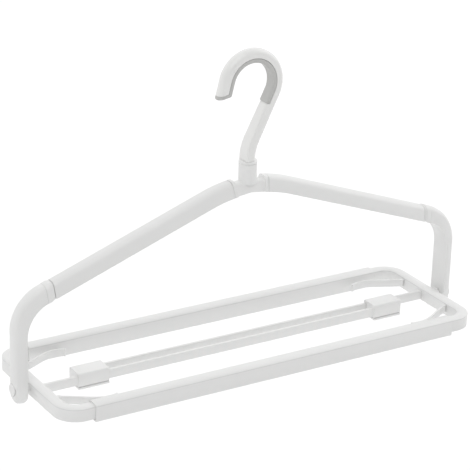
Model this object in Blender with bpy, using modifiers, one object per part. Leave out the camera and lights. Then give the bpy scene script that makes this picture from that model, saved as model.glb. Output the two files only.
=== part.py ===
"""Extending towel hanger: a swivel hook, two telescoping shoulders and a telescoping rack that folds.

Metres, +Z up, +X along the hanger, +Y to the back. The origin is the seat of the hook, where it
rests on a rail. The hanger is modelled closed up, with its rack level.
"""
import math

import bmesh
import bpy
from mathutils import Matrix, Vector

# Gaps between pieces
touching_gap = 0.0003
sliding_gap = 0.0004
overrun = 0.001
weld_distance = 0.00001

# Hook: a band with a rounded back and a flat inner side, bent round in the plane of the hanger
hook_inner_radius = 0.0227
hook_band = 0.0126
hook_depth = 0.0138
hook_foot_depth = 0.0166
hook_outer_corner = 0.0062
hook_inner_corner = 0.0018
hook_tip_length = 0.0181
hook_tip_slant = math.radians(24)
hook_tip_flare = math.radians(13.2)
neck_lean = math.radians(25.8)
neck_bend_radius = 0.0453
neck_height = 0.0017
spigot_diameter = 0.0100
pilot_diameter = 0.0034
pilot_depth = 0.0110
liner_proud = 0.0013
liner_edge_height = 0.0044
liner_run_down = 0.0125
tip_pad_thickness = 0.0040

# Swivel: bush, hub, washer and screw
bush_diameter = 0.0191
bush_rim_height = 0.0073
bush_wall = 0.0018
bush_sleeve_length = 0.0080
bush_groove_depth = 0.0004
bush_groove_height = 0.0008
bush_groove_rise = 0.0016
hub_diameter = 0.0188
hub_socket_height = 0.0234
hub_recess_diameter = 0.0150
hub_recess_depth = 0.0062
hub_slope = math.radians(7)
hub_bead_width = 0.0030
hub_bead_step = 0.0004
hub_bead_gap = 0.0006
hub_stub_length = 0.0240
washer_diameter = 0.0128
washer_thickness = 0.0012
screw_head_diameter = 0.0080
screw_head_height = 0.0022
screw_slot_width = 0.0012

# Shoulder sleeves: an arch section on a slope
shoulder_slope = math.radians(19.8)
shoulder_start = 0.0200
shoulder_start_slope = math.radians(9)
shoulder_bend_radius = 0.145
mouth_slope = math.radians(5)
shoulder_wall = 0.0015
shoulder_foot_half = 0.0112
shoulder_half = 0.0082
shoulder_side_height = 0.0112
shoulder_height = 0.0156
shoulder_flat_half = 0.0026

# Side arms: a thinner slide, then a body that turns down into the leg
arm_insert_short = 0.0140
arm_core_wall = 0.0018
arm_core_floor = 0.0240
collar_gap = 0.0034
collar_width = 0.0055
collar_step = 0.0003
body_height = 0.0163
body_taper_power = 1.5
arm_bend_radius = 0.0355
leg_length = 0.0575
leg_foot_half = 0.0121
leg_half = 0.0072
leg_side_height = 0.0088
leg_height = 0.0121
leg_flat_half = 0.0040
leg_end_drop = 0.0159

# Rack: channels, tubes, centre bars and sliders
rack_half_width = 0.2500
rail_offset = 0.0738
rail_end_inset = 0.0340
rail_width = 0.0152
rail_top = 0.0078
rail_bottom = -0.0113
rail_wall = 0.0012
rail_crown_rise = 0.0024
rail_bottom_corner = 0.0010
channel_wall = 0.0018
channel_bottom = -0.0082
channel_crown_rise = 0.0018
channel_corner_radius = 0.0190
stub_end = 0.0040
bar_thickness = 0.0032
bar_height = 0.0100
bar_top = 0.0025
bar_spread = 0.0072
bar_root_depth = 0.0040
slider_inset = 0.0690
slider_length = 0.0350
slider_half_depth = 0.0104
slider_top = 0.0058
slider_base = -0.0116
slider_lip_height = 0.0024
slider_lip_step = 0.0006
slider_groove = 0.0008
slider_corner = 0.0018
slider_pocket_end = 0.0040

# Pivots at the feet of the arms
pivot_diameter = 0.0054
pivot_head_diameter = 0.0104
pivot_head_height = 0.0012
pivot_cap_diameter = 0.0128
pivot_cap_height = 0.0014
pivot_cap_proud = 0.0004
pivot_boss_diameter = 0.0100
pivot_boss_length = 0.00505
pivot_washer_diameter = 0.0078
pivot_washer_thickness = 0.0008
pivot_tail = 0.0012

# Flexing fingers
finger_height = 0.0081
finger_thickness = 0.0022
finger_top = 0.0036
finger_knuckle_diameter = 0.0042
finger_root = 0.0395
finger_reach_shares = (0.24, 0.52, 0.73, 0.88, 0.965, 1.0)
finger_spread_shares = (0.36, 0.81, 1.0, 0.99, 0.94, 0.86)
finger_reach = 0.0562
finger_spread = 0.0194
finger_droop = 0.0020

# How finely round shapes are divided
arc_steps = 4
back_steps = 5
bend_steps = 9
round_sides = 32
small_sides = 20

# Colours: linear red, green, blue, then roughness
white_plastic = (0.80, 0.80, 0.79, 0.38)
hook_plastic = (0.82, 0.82, 0.81, 0.30)
grey_rubber = (0.42, 0.43, 0.43, 0.62)
steel = (0.60, 0.60, 0.60, 0.30)

# Heights that follow from the sizes above
hook_centre_z = -hook_inner_radius
hook_line_radius = hook_inner_radius + liner_proud + hook_band / 2
neck_run = (
    hook_line_radius * math.cos(neck_lean) - neck_bend_radius * (1 - math.cos(neck_lean))
) / math.sin(neck_lean)
neck_top_z = (
    hook_centre_z
    - hook_line_radius * math.sin(neck_lean)
    - neck_run * math.cos(neck_lean)
    - neck_bend_radius * math.sin(neck_lean)
)
bush_top_z = neck_top_z - neck_height
hub_top_z = bush_top_z - bush_rim_height - touching_gap
shoulder_foot_z = hub_top_z - hub_socket_height - (shoulder_wall + sliding_gap) - shoulder_start * math.tan(hub_slope)
arc_turn = shoulder_slope - shoulder_start_slope
shoulder_bend_x = shoulder_start + shoulder_bend_radius * (math.sin(shoulder_slope) - math.sin(shoulder_start_slope))
shoulder_bend_z = shoulder_foot_z - shoulder_bend_radius * (math.cos(shoulder_start_slope) - math.cos(shoulder_slope))

# Places that follow from the rack's width, back up the arm to the mouth of its sleeve
leg_inner_x = rack_half_width + pivot_boss_length + sliding_gap
leg_outer_x = leg_inner_x + leg_height
bend_centre_x = leg_inner_x - arm_bend_radius
arm_body_start = collar_gap + collar_width + touching_gap
bend_start_x = bend_centre_x + arm_bend_radius * math.sin(shoulder_slope)
shoulder_end_x = bend_start_x - arm_body_start * math.cos(shoulder_slope)
shoulder_straight = (shoulder_end_x - shoulder_bend_x) / math.cos(shoulder_slope)
shoulder_end_z = shoulder_bend_z - shoulder_straight * math.sin(shoulder_slope)
bend_start_z = shoulder_end_z - arm_body_start * math.sin(shoulder_slope)
bend_centre_z = bend_start_z - arm_bend_radius * math.cos(shoulder_slope)
rack_z = bend_centre_z - leg_length
arm_insert = shoulder_straight - arm_insert_short

# Sections that follow from the sizes above
arm_slide_inset = shoulder_wall + sliding_gap
stub_width = rail_width - 2 * (rail_wall + sliding_gap)
channel_top = rail_top - rail_wall - sliding_gap
channel_centre = rack_half_width - stub_width / 2
channel_face = rack_half_width - stub_width
rail_length = 2 * (rack_half_width - rail_end_inset)
slider_centre = rack_half_width - slider_inset
hub_section_inset = shoulder_wall + touching_gap

parts = None
cutters = None


def clear_scene():
    """Remove what the open file holds and make the two collections."""
    global parts, cutters
    for old in list(bpy.data.objects):
        bpy.data.objects.remove(old, do_unlink=True)
    parts = bpy.data.collections.new("towel_hanger")
    cutters = bpy.data.collections.new("cutters")
    bpy.context.scene.collection.children.link(parts)
    bpy.context.scene.collection.children.link(cutters)


def finish(name, look):
    """A plain material of one plastic, rubber or metal."""
    material = bpy.data.materials.new(name)
    material.use_nodes = True
    shader = material.node_tree.nodes["Principled BSDF"]
    shader.inputs["Base Color"].default_value = (look[0], look[1], look[2], 1)
    shader.inputs["Roughness"].default_value = look[3]
    shader.inputs["Metallic"].default_value = 1.0 if look is steel else 0.0
    return material


def solid(name, mesh, look):
    """A named part of the hanger, in world places, smooth where it is round."""
    body = bpy.data.objects.new(name, mesh)
    parts.objects.link(body)
    mesh.materials.append(finish(name + "_finish", look))
    mesh.shade_smooth()
    mesh.set_sharp_from_angle(angle=math.radians(35))
    return body


def tool(name, mesh):
    """A hidden cutter or an added form for a Boolean."""
    body = bpy.data.objects.new(name, mesh)
    cutters.objects.link(body)
    body.hide_render = True
    body.display_type = "WIRE"
    return body


def join(body, mesh, operation="DIFFERENCE"):
    """Cut a mesh out of a part, or with UNION add it."""
    modifier = body.modifiers.new(operation.lower(), "BOOLEAN")
    modifier.operation = operation
    modifier.solver = "EXACT"
    modifier.object = tool(body.name + "_tool_" + str(len(body.modifiers)), mesh)
    return modifier


def cleaned(mesh):
    """Weld a mesh and turn its faces outwards."""
    work = bmesh.new()
    work.from_mesh(mesh)
    bmesh.ops.remove_doubles(work, verts=work.verts, dist=weld_distance)
    bmesh.ops.recalc_face_normals(work, faces=work.faces)
    work.to_mesh(mesh)
    work.free()
    return mesh


def mirrored(mesh):
    """A copy of a mesh on the other side of the YZ plane."""
    twin = mesh.copy()
    twin.transform(Matrix.Scale(-1, 4, Vector((1, 0, 0))))
    twin.flip_normals()
    return twin


def box_mesh(low, high):
    """A block between two corners."""
    low, high = Vector(low), Vector(high)
    work = bmesh.new()
    bmesh.ops.create_cube(work, size=1)
    bmesh.ops.scale(work, vec=high - low, verts=work.verts)
    bmesh.ops.translate(work, vec=(low + high) / 2, verts=work.verts)
    mesh = bpy.data.meshes.new("box")
    work.to_mesh(mesh)
    work.free()
    return mesh


def rod_mesh(start, end, diameter, sides=round_sides):
    """A round rod between two points."""
    start, end = Vector(start), Vector(end)
    work = bmesh.new()
    bmesh.ops.create_cone(
        work, cap_ends=True, segments=sides, radius1=diameter / 2, radius2=diameter / 2,
        depth=(end - start).length,
    )
    turn = Vector((0, 0, 1)).rotation_difference(end - start).to_matrix().to_4x4()
    work.transform(Matrix.Translation((start + end) / 2) @ turn)
    mesh = bpy.data.meshes.new("rod")
    work.to_mesh(mesh)
    work.free()
    return mesh


def turned_mesh(profile, sides=round_sides):
    """A closed (radius, height) outline turned about Z by a Screw modifier."""
    outline = bpy.data.meshes.new("profile")
    points = [(radius, 0, height) for radius, height in profile]
    edges = [(index, (index + 1) % len(points)) for index in range(len(points))]
    outline.from_pydata(points, edges, [])
    holder = bpy.data.objects.new("profile", outline)
    bpy.context.scene.collection.objects.link(holder)
    screw = holder.modifiers.new("turn", "SCREW")
    screw.steps = sides
    screw.render_steps = sides
    screw.use_merge_vertices = True
    screw.merge_threshold = weld_distance
    mesh = evaluated_mesh(holder)
    bpy.data.objects.remove(holder, do_unlink=True)
    return cleaned(mesh)


def evaluated_mesh(holder):
    """The mesh that an object makes, with its modifiers."""
    graph = bpy.context.evaluated_depsgraph_get()
    return bpy.data.meshes.new_from_object(holder.evaluated_get(graph))


def flat_curve(name, points, closed):
    """A 2D curve of straight pieces through points."""
    curve = bpy.data.curves.new(name, "CURVE")
    curve.dimensions = "2D"
    line = curve.splines.new("POLY")
    line.points.add(len(points) - 1)
    for point, place in zip(line.points, points):
        point.co = (place[0], place[1], 0, 1)
    line.use_cyclic_u = closed
    holder = bpy.data.objects.new(name, curve)
    bpy.context.scene.collection.objects.link(holder)
    return holder


def swept_mesh(section, path, closed=True):
    """A section carried along a flat path: the section's x is to the right of travel, its y is up."""
    profile = flat_curve("section", section, closed)
    rail = flat_curve("path", path, False)
    rail.data.bevel_mode = "OBJECT"
    rail.data.bevel_object = profile
    rail.data.use_fill_caps = closed
    mesh = evaluated_mesh(rail)
    bpy.data.objects.remove(rail, do_unlink=True)
    bpy.data.objects.remove(profile, do_unlink=True)
    return cleaned(mesh)


def plate_mesh(outline, thickness):
    """A closed flat outline with a thickness, centred on its own plane."""
    plate = flat_curve("outline", outline, True)
    plate.data.fill_mode = "BOTH"
    plate.data.extrude = thickness / 2
    mesh = evaluated_mesh(plate)
    bpy.data.objects.remove(plate, do_unlink=True)
    return cleaned(mesh)


def moved(mesh, place):
    mesh.transform(Matrix.Translation(Vector(place)))
    return mesh


def shell(body, thickness):
    """Give an open surface a wall that grows inwards."""
    wall = body.modifiers.new("wall", "SOLIDIFY")
    wall.thickness = thickness
    wall.offset = -1
    wall.use_even_offset = True


def arc(centre, radius, start, end, steps=arc_steps):
    """Points on an arc from one angle to another."""
    points = []
    for step in range(steps + 1):
        angle = start + (end - start) * step / steps
        points.append((centre[0] + radius * math.cos(angle), centre[1] + radius * math.sin(angle)))
    return points


def arch(foot_half, half, side_height, height, flat_half, inset=0):
    """An arch outline as (side, up) pairs: flat foot, leaning sides, round shoulders, all moved in by inset."""
    lean = (foot_half - half) / side_height
    shift = inset * math.sqrt(1 + lean * lean)

    def side_at(up):
        return foot_half - lean * up - shift

    reach = half - flat_half - inset
    rise = height - side_height - inset
    points = [(side_at(inset), inset)]
    for step in range(arc_steps + 1):
        angle = math.pi / 2 * step / arc_steps
        points.append((flat_half + reach * math.cos(angle), side_height + rise * math.sin(angle)))
    points[1] = (side_at(side_height), side_height)
    left = [(-side, up) for side, up in reversed(points)]
    return points + left


def shoulder_arch(inset=0):
    return arch(
        shoulder_foot_half, shoulder_half, shoulder_side_height, shoulder_height, shoulder_flat_half, inset
    )


def body_arch(inset=0):
    return arch(shoulder_foot_half, shoulder_half, shoulder_side_height, body_height, shoulder_flat_half, inset)


def leg_arch():
    return arch(leg_foot_half, leg_half, leg_side_height, leg_height, leg_flat_half)


def slanted(outline):
    """An outline stretched for a mouth, which is cut steeper than square to the slope."""
    stretch = 1 / math.cos(shoulder_slope - mouth_slope)
    return [(side, up * stretch) for side, up in outline]


def blended(first, second, share):
    """An outline part of the way from one arch to another."""
    return [
        (a[0] + (b[0] - a[0]) * share, a[1] + (b[1] - a[1]) * share)
        for a, b in zip(first, second)
    ]


def drawn_mesh(stations, capped=True):
    """Draw a section through stations of (x, z, slope down, outline), by extruding its edge."""
    work = bmesh.new()
    rings = []
    for x, z, slope, outline in stations:
        up = Vector((math.sin(slope), 0, math.cos(slope)))
        foot = Vector((x, 0, z))
        rings.append([foot + Vector((0, side, 0)) + up * height for side, height in outline])
    ring = [work.verts.new(place) for place in rings[0]]
    edges = [work.edges.new((ring[i], ring[(i + 1) % len(ring)])) for i in range(len(ring))]
    if capped:
        work.faces.new(ring)
    for places in rings[1:]:
        made = bmesh.ops.extrude_edge_only(work, edges=edges)["geom"]
        verts = [item for item in made if isinstance(item, bmesh.types.BMVert)]
        partner = {}
        for vert in verts:
            for edge in vert.link_edges:
                other = edge.other_vert(vert)
                if other in ring:
                    partner[other] = vert
        ring = [partner[vert] for vert in ring]
        for vert, place in zip(ring, places):
            vert.co = place
        edges = [item for item in made if isinstance(item, bmesh.types.BMEdge)]
    if capped:
        work.faces.new(list(reversed(ring)))
    bmesh.ops.remove_doubles(work, verts=work.verts, dist=weld_distance)
    bmesh.ops.recalc_face_normals(work, faces=work.faces)
    mesh = bpy.data.meshes.new("drawn")
    work.to_mesh(mesh)
    work.free()
    return mesh


def hook_outline(floor, roof, corner, depth=hook_depth):
    """Outline of the band as (side, up) pairs: up is away from the inside of the bend."""
    deep = depth / 2
    inner = arc((deep - corner, floor + corner), corner, -math.pi / 2, 0, 2)
    outer = hook_outer_corner
    back = arc((deep - outer, hook_band / 2 - outer), outer, 0, math.pi / 2, back_steps)
    back = [(side, min(up, roof)) for side, up in back]
    points = inner + back
    left = [(-side, up) for side, up in reversed(points)]
    return points + left


def over_the_top():
    """The bend of the hook as (x, z, slope) along the centre line, from the tip's side to the neck's."""
    places = []
    lead, tail = math.pi - hook_tip_flare, -neck_lean
    steps = 3 * bend_steps
    for step in range(steps + 1):
        angle = lead + (tail - lead) * step / steps
        places.append((
            hook_line_radius * math.cos(angle), hook_centre_z + hook_line_radius * math.sin(angle),
            math.pi / 2 - angle,
        ))
    return places


def before(place, length):
    """A place a length back along the direction of travel, with the same slope."""
    x, z, slope = place
    return x - length * math.cos(slope), z + length * math.sin(slope), slope


def slant_end(place, outline):
    """A station at the hook's tip, cut so that the inner side is shorter."""
    x, z, slope = place
    stretch = 1 / math.cos(hook_tip_slant)
    return x, z, slope - hook_tip_slant, [(side, up * stretch) for side, up in outline]


def make_hook():
    """The bent band with its spigot, and the soft liner that is let into it."""
    half = hook_band / 2
    face = -half - liner_proud
    seat = face + liner_edge_height
    cut_back = hook_outline(seat + touching_gap, half, touching_gap)
    bend = over_the_top()
    liner_end = before(bend[-1], -liner_run_down)
    bare_start = before(liner_end, -touching_gap)
    tip = before(bend[0], hook_tip_length)
    pad_end = before(tip, -tip_pad_thickness)
    band_start = before(pad_end, -touching_gap)
    stations = [slant_end(band_start, cut_back)]
    stations += [(*place, cut_back) for place in bend]
    stations += [(*bare_start, cut_back), (*bare_start, hook_outline(-half, half, hook_inner_corner))]
    for step in range(bend_steps - 2):
        angle = math.pi - neck_lean * (1 - step / (bend_steps - 3))
        x = neck_bend_radius * (1 + math.cos(angle))
        z = neck_top_z + neck_bend_radius * math.sin(angle)
        share = (bare_start[1] - z) / (bare_start[1] - neck_top_z)
        depth = hook_depth + (hook_foot_depth - hook_depth) * share
        stations.append((x, z, 1.5 * math.pi - angle, hook_outline(-half, half, hook_inner_corner, depth)))
    foot = stations[-1]
    stations.append((foot[0], bush_top_z + touching_gap, foot[2], foot[3]))
    hook = solid("hook", drawn_mesh(stations), hook_plastic)
    spigot_end = spigot_end_z()
    spigot = rod_mesh((0, 0, spigot_end), (0, 0, neck_top_z), spigot_diameter, small_sides)
    join(hook, spigot, "UNION")
    pilot = rod_mesh(
        (0, 0, spigot_end - overrun), (0, 0, spigot_end + pilot_depth),
        pilot_diameter + 2 * touching_gap, small_sides,
    )
    join(hook, pilot)

    pad = hook_outline(face, half, hook_inner_corner)
    strip = hook_outline(face, seat, hook_inner_corner)
    stations = [slant_end(tip, pad), slant_end(pad_end, pad), slant_end(pad_end, strip)]
    stations += [(*place, strip) for place in bend]
    stations.append((*liner_end, strip))
    solid("hook_grip_liner", drawn_mesh(stations), grey_rubber)


def hub_foot_z():
    """Height of the hub's underside at its middle."""
    return hub_top_z - hub_socket_height


def recess_floor_z():
    return hub_foot_z() + hub_recess_depth


def spigot_end_z():
    return recess_floor_z() - touching_gap


def make_swivel():
    """Bush, hub with its bent cross tube, washer and screw."""
    bore = spigot_diameter + 2 * touching_gap
    rim, top = bush_diameter / 2, bush_top_z
    groove = top - bush_rim_height + bush_groove_rise
    bush_end = top - bush_rim_height - bush_sleeve_length
    sleeve = bore / 2 + bush_wall
    profile = [
        (bore / 2, top), (rim, top), (rim, groove + bush_groove_height),
        (rim - bush_groove_depth, groove + bush_groove_height / 2), (rim, groove),
        (rim, top - bush_rim_height), (sleeve, top - bush_rim_height), (sleeve, bush_end), (bore / 2, bush_end),
    ]
    solid("swivel_bush", turned_mesh(profile), white_plastic)

    foot = hub_foot_z()
    middle = shoulder_arch(hub_section_inset)
    base = hub_section_inset
    half_tube = []
    for x in (0, shoulder_start - hub_bead_width - hub_bead_gap):
        half_tube.append((x, foot - base - x * math.tan(hub_slope), hub_slope, middle))
    start = half_tube[1]
    end_slope = shoulder_start_slope
    bead = shoulder_arch(hub_section_inset - hub_bead_step)
    bead_end = shoulder_start - hub_bead_gap
    half_tube.append((start[0], start[1], start[2], bead))
    half_tube.append((bead_end, foot - base - bead_end * math.tan(hub_slope), hub_slope, bead))
    half_tube.append((bead_end, foot - base - bead_end * math.tan(hub_slope), hub_slope, middle))
    for step in range(1, 4):
        slope = end_slope + (hub_stub_length / shoulder_bend_radius) * step / 3
        x = shoulder_start + shoulder_bend_radius * (math.sin(slope) - math.sin(end_slope))
        z = shoulder_foot_z - shoulder_bend_radius * (math.cos(end_slope) - math.cos(slope))
        half_tube.append((x, z, slope, middle))
    half_tube[0] = (0, foot - base, 0, middle)
    right = drawn_mesh(half_tube, capped=False)
    work = bmesh.new()
    work.from_mesh(right)
    work.from_mesh(mirrored(right))
    bmesh.ops.remove_doubles(work, verts=work.verts, dist=weld_distance)
    bmesh.ops.holes_fill(work, edges=[edge for edge in work.edges if edge.is_boundary])
    bmesh.ops.recalc_face_normals(work, faces=work.faces)
    tube = bpy.data.meshes.new("hub")
    work.to_mesh(tube)
    work.free()
    hub = solid("hub", tube, white_plastic)
    socket = rod_mesh((0, 0, foot + hub_recess_depth), (0, 0, hub_top_z), hub_diameter)
    join(hub, socket, "UNION")
    seat_end = bush_end - touching_gap
    join(hub, rod_mesh((0, 0, seat_end), (0, 0, hub_top_z + overrun), 2 * (sleeve + touching_gap)))
    join(hub, rod_mesh((0, 0, foot - base), (0, 0, hub_top_z), bore))
    join(hub, rod_mesh((0, 0, foot - overrun), (0, 0, recess_floor_z()), hub_recess_diameter))

    washer_top = spigot_end_z() - touching_gap
    washer_low = washer_top - washer_thickness
    hole = pilot_diameter / 2 + touching_gap
    ring = [
        (hole, washer_top), (washer_diameter / 2, washer_top),
        (washer_diameter / 2, washer_low), (hole, washer_low),
    ]
    solid("hook_washer", turned_mesh(ring), steel)
    head_top = washer_low - touching_gap
    head = rod_mesh((0, 0, head_top - screw_head_height), (0, 0, head_top), screw_head_diameter, small_sides)
    screw = solid("hook_screw", head, steel)
    shank_end = spigot_end_z() + pilot_depth - touching_gap
    join(screw, rod_mesh((0, 0, head_top - overrun), (0, 0, shank_end), pilot_diameter, small_sides), "UNION")
    slot = box_mesh(
        (-screw_head_diameter, -screw_slot_width / 2, head_top - screw_head_height - overrun),
        (screw_head_diameter, screw_slot_width / 2, head_top - screw_head_height / 2),
    )
    join(screw, slot)


def shoulder_stations(outline):
    """Stations of a shoulder sleeve: a gentle bend at the hub, then straight down the slope."""
    stations = []
    for step in range(bend_steps - 3):
        share = step / (bend_steps - 4)
        slope = shoulder_start_slope + arc_turn * share
        x = shoulder_start + shoulder_bend_radius * (math.sin(slope) - math.sin(shoulder_start_slope))
        z = shoulder_foot_z - shoulder_bend_radius * (math.cos(shoulder_start_slope) - math.cos(slope))
        stations.append((x, z, slope, outline))
    stations.append((shoulder_end_x, shoulder_end_z, mouth_slope, slanted(outline)))
    return stations


def make_shoulders():
    """The two hollow sleeves that the arms slide in."""
    right = drawn_mesh(shoulder_stations(shoulder_arch()), capped=False)
    for name, mesh in (("right_shoulder_sleeve", right), ("left_shoulder_sleeve", mirrored(right))):
        sleeve = solid(name, mesh, white_plastic)
        shell(sleeve, shoulder_wall)


def on_slope(distance):
    """A place on the foot line, measured on from the mouth of the sleeve."""
    x = shoulder_end_x + distance * math.cos(shoulder_slope)
    z = shoulder_end_z - distance * math.sin(shoulder_slope)
    return x, z


def arm_stations():
    """Stations of a side arm: slide, body, bend, leg and rounded end."""
    slide = shoulder_arch(arm_slide_inset)
    body = body_arch()
    leg = leg_arch()
    stations = [
        (*on_slope(-arm_insert), shoulder_slope, slide),
        (*on_slope(arm_body_start), mouth_slope, slanted(slide)),
        (*on_slope(arm_body_start), mouth_slope, slanted(body)),
    ]
    for step in range(1, bend_steps + 1):
        share = step / bend_steps
        slope = shoulder_slope + (math.pi / 2 - shoulder_slope) * share
        x = bend_centre_x + arm_bend_radius * math.sin(slope)
        z = bend_centre_z + arm_bend_radius * math.cos(slope)
        stations.append((x, z, slope, blended(body, leg, share ** body_taper_power)))
    middle = leg_height / 2
    for angle in (0, 22, 42, 60, 75):
        narrow = math.cos(math.radians(angle))
        outline = [(side * narrow, middle + (up - middle) * narrow) for side, up in leg]
        z = rack_z - leg_end_drop + leg_foot_half * (1 - math.sin(math.radians(angle)))
        stations.append((leg_inner_x, z, math.pi / 2, outline))
    return stations


def arm_mesh_tools():
    """The cuts in an arm: the hollow of its slide, the pivot's hole and the seat of its cap."""
    core = shoulder_arch(arm_slide_inset + arm_core_wall)
    hollow = drawn_mesh([
        (*on_slope(-arm_insert - overrun), shoulder_slope, core),
        (*on_slope(-arm_core_floor), shoulder_slope, core),
    ])
    hole = rod_mesh(
        (leg_inner_x - overrun, 0, rack_z), (leg_outer_x + overrun, 0, rack_z),
        pivot_diameter + 2 * touching_gap, small_sides,
    )
    seat = rod_mesh(
        (cap_inner_x() - pivot_head_height - 2 * touching_gap, 0, rack_z), (leg_outer_x + overrun, 0, rack_z),
        pivot_cap_diameter + 2 * touching_gap,
    )
    return hollow, hole, seat


def cap_inner_x():
    """Inner face of the pivot's cap, on the right-hand side."""
    return leg_outer_x + pivot_cap_proud - pivot_cap_height


def make_arms():
    """The two side arms, each with a collar that stops against the mouth of its sleeve."""
    arm = drawn_mesh(arm_stations())
    tools = arm_mesh_tools()
    ring_start, ring_end = collar_gap, collar_gap + collar_width
    outer = slanted(body_arch(-collar_step))
    collar = drawn_mesh([
        (*on_slope(ring_start), mouth_slope, outer), (*on_slope(ring_end), mouth_slope, outer),
    ])
    slot_outline = slanted(shoulder_arch(arm_slide_inset - touching_gap))
    slot = drawn_mesh([
        (*on_slope(ring_start - overrun), mouth_slope, slot_outline),
        (*on_slope(ring_end + overrun), mouth_slope, slot_outline),
    ])
    for side in ("right", "left"):
        as_side = mirrored if side == "left" else (lambda mesh: mesh.copy())
        body = solid(side + "_side_arm", as_side(arm), white_plastic)
        for mesh in tools:
            join(body, as_side(mesh))
        ring = solid(side + "_arm_collar", as_side(collar), white_plastic)
        join(ring, as_side(slot))


def crown(half, top, rise):
    """Points of a low arched top, from its right side over to its left."""
    points = []
    for step in range(2 * bend_steps + 1):
        angle = math.pi * step / (2 * bend_steps)
        points.append((half * math.cos(angle), top - rise * (1 - math.sin(angle))))
    return points


def channel_section():
    """Open outline of the end frame's channel, arched at the top and open at the foot."""
    half = stub_width / 2
    return [(half, channel_bottom)] + crown(half, channel_top, channel_crown_rise) + [(-half, channel_bottom)]


def end_frame_path():
    """Path of the right end frame: along the front stub, round the short rail, back along the rear stub."""
    bend = channel_corner_radius
    centre_x, centre_y = channel_centre - bend, rail_offset - bend
    path = [(stub_end, -rail_offset)]
    path += arc((centre_x, -centre_y), bend, -math.pi / 2, 0, bend_steps - 2)
    path += arc((centre_x, centre_y), bend, 0, math.pi / 2, bend_steps - 2)
    path.append((stub_end, rail_offset))
    return path


def bar_box(side, grow=0.0):
    """Low and high corners of a centre bar's section: the left bar lies in front, the right one behind."""
    middle = bar_spread if side == "right" else -bar_spread
    half = bar_thickness / 2 + grow
    return (middle - half, bar_top - bar_height - grow), (middle + half, bar_top + grow)


def make_end_frames():
    """Two moulded channels that slide in the rails, with bosses for the pivots and notches for the bars."""
    half_frame = swept_mesh(channel_section(), end_frame_path(), closed=False)
    for side in ("right", "left"):
        sign = 1 if side == "right" else -1
        mesh = half_frame.copy() if side == "right" else mirrored(half_frame)
        frame = solid(side + "_end_frame", moved(mesh, (0, 0, rack_z)), white_plastic)
        shell(frame, channel_wall)
        low, high = bar_box(side, touching_gap)
        ends = sorted((
            sign * (channel_face - overrun), sign * (channel_face + channel_wall + overrun),
        ))
        notch = box_mesh(
            (ends[0], low[0], rack_z + channel_bottom - overrun), (ends[1], high[0], rack_z + high[1]),
        )
        join(frame, notch)
        boss = rod_mesh(
            (sign * (rack_half_width - channel_wall / 2), 0, rack_z),
            (sign * (rack_half_width + pivot_boss_length), 0, rack_z), pivot_boss_diameter,
        )
        join(frame, boss, "UNION")
        hole = rod_mesh(
            (sign * (rack_half_width - channel_wall - overrun), 0, rack_z),
            (sign * (rack_half_width + pivot_boss_length + overrun), 0, rack_z),
            pivot_diameter + 2 * touching_gap, small_sides,
        )
        join(frame, hole)


def rail_section():
    """Closed outline of a rail tube, with a low arched top."""
    half, low = rail_width / 2, rail_bottom_corner
    points = crown(half, rail_top, rail_crown_rise)
    points += arc((-half + low, rail_bottom + low), low, math.pi, 1.5 * math.pi, 1)
    points += arc((half - low, rail_bottom + low), low, 1.5 * math.pi, 2 * math.pi, 1)
    return points


def make_rails():
    """Front and rear tubes that the end frames slide in."""
    path = [(-rail_length / 2, 0), (rail_length / 2, 0)]
    for name, side in (("front_rail_sleeve", -1), ("rear_rail_sleeve", 1)):
        profile = flat_curve("section", rail_section(), True)
        line = flat_curve("path", path, False)
        line.data.bevel_mode = "OBJECT"
        line.data.bevel_object = profile
        mesh = cleaned(evaluated_mesh(line))
        bpy.data.objects.remove(line, do_unlink=True)
        bpy.data.objects.remove(profile, do_unlink=True)
        rail = solid(name, moved(mesh, (0, side * rail_offset, rack_z)), white_plastic)
        shell(rail, rail_wall)


def slider_outline():
    """Outline of a slider seen from its end: a block on a wider lip, with a fine groove between."""
    half, corner = slider_half_depth, slider_corner
    lip_top = slider_base + slider_lip_height
    lip = half + slider_lip_step
    groove = half - slider_groove
    points = [(lip, slider_base), (lip, lip_top - slider_groove), (groove, lip_top), (half, lip_top + slider_groove)]
    points += arc((half - corner, slider_top - corner), corner, 0, math.pi / 2, 3)
    left = [(-side, up) for side, up in reversed(points)]
    return points + left


def make_bars_and_sliders():
    """Each bar is held by one end frame and carries a slider, which runs on the other bar."""
    root = channel_face + channel_wall + bar_root_depth
    for side in ("right", "left"):
        sign = 1 if side == "right" else -1
        other = "left" if side == "right" else "right"
        low, high = bar_box(side)
        pocket_end = -sign * (slider_centre + slider_length / 2 - slider_pocket_end)
        ends = sorted((sign * root, pocket_end + sign * touching_gap))
        bar = box_mesh((ends[0], low[0], rack_z + low[1]), (ends[1], high[0], rack_z + high[1]))
        solid(side + "_centre_bar", bar, white_plastic)

        block = plate_mesh(slider_outline(), slider_length)
        block.transform(Matrix.Rotation(math.pi / 2, 4, "Z") @ Matrix.Rotation(math.pi / 2, 4, "X"))
        slider = solid(other + "_slider", moved(block, (-sign * slider_centre, 0, rack_z)), white_plastic)
        low, high = bar_box(side, touching_gap)
        mouth = -sign * (slider_centre - slider_length / 2 - overrun)
        ends = sorted((mouth, pocket_end))
        join(slider, box_mesh((ends[0], low[0], rack_z + low[1]), (ends[1], high[0], rack_z + high[1])))
        low, high = bar_box(other, sliding_gap)
        reach = slider_length / 2 + overrun
        slot = box_mesh(
            (-sign * slider_centre - reach, low[0], rack_z + low[1]),
            (-sign * slider_centre + reach, high[0], rack_z + high[1]),
        )
        join(slider, slot)


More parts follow.
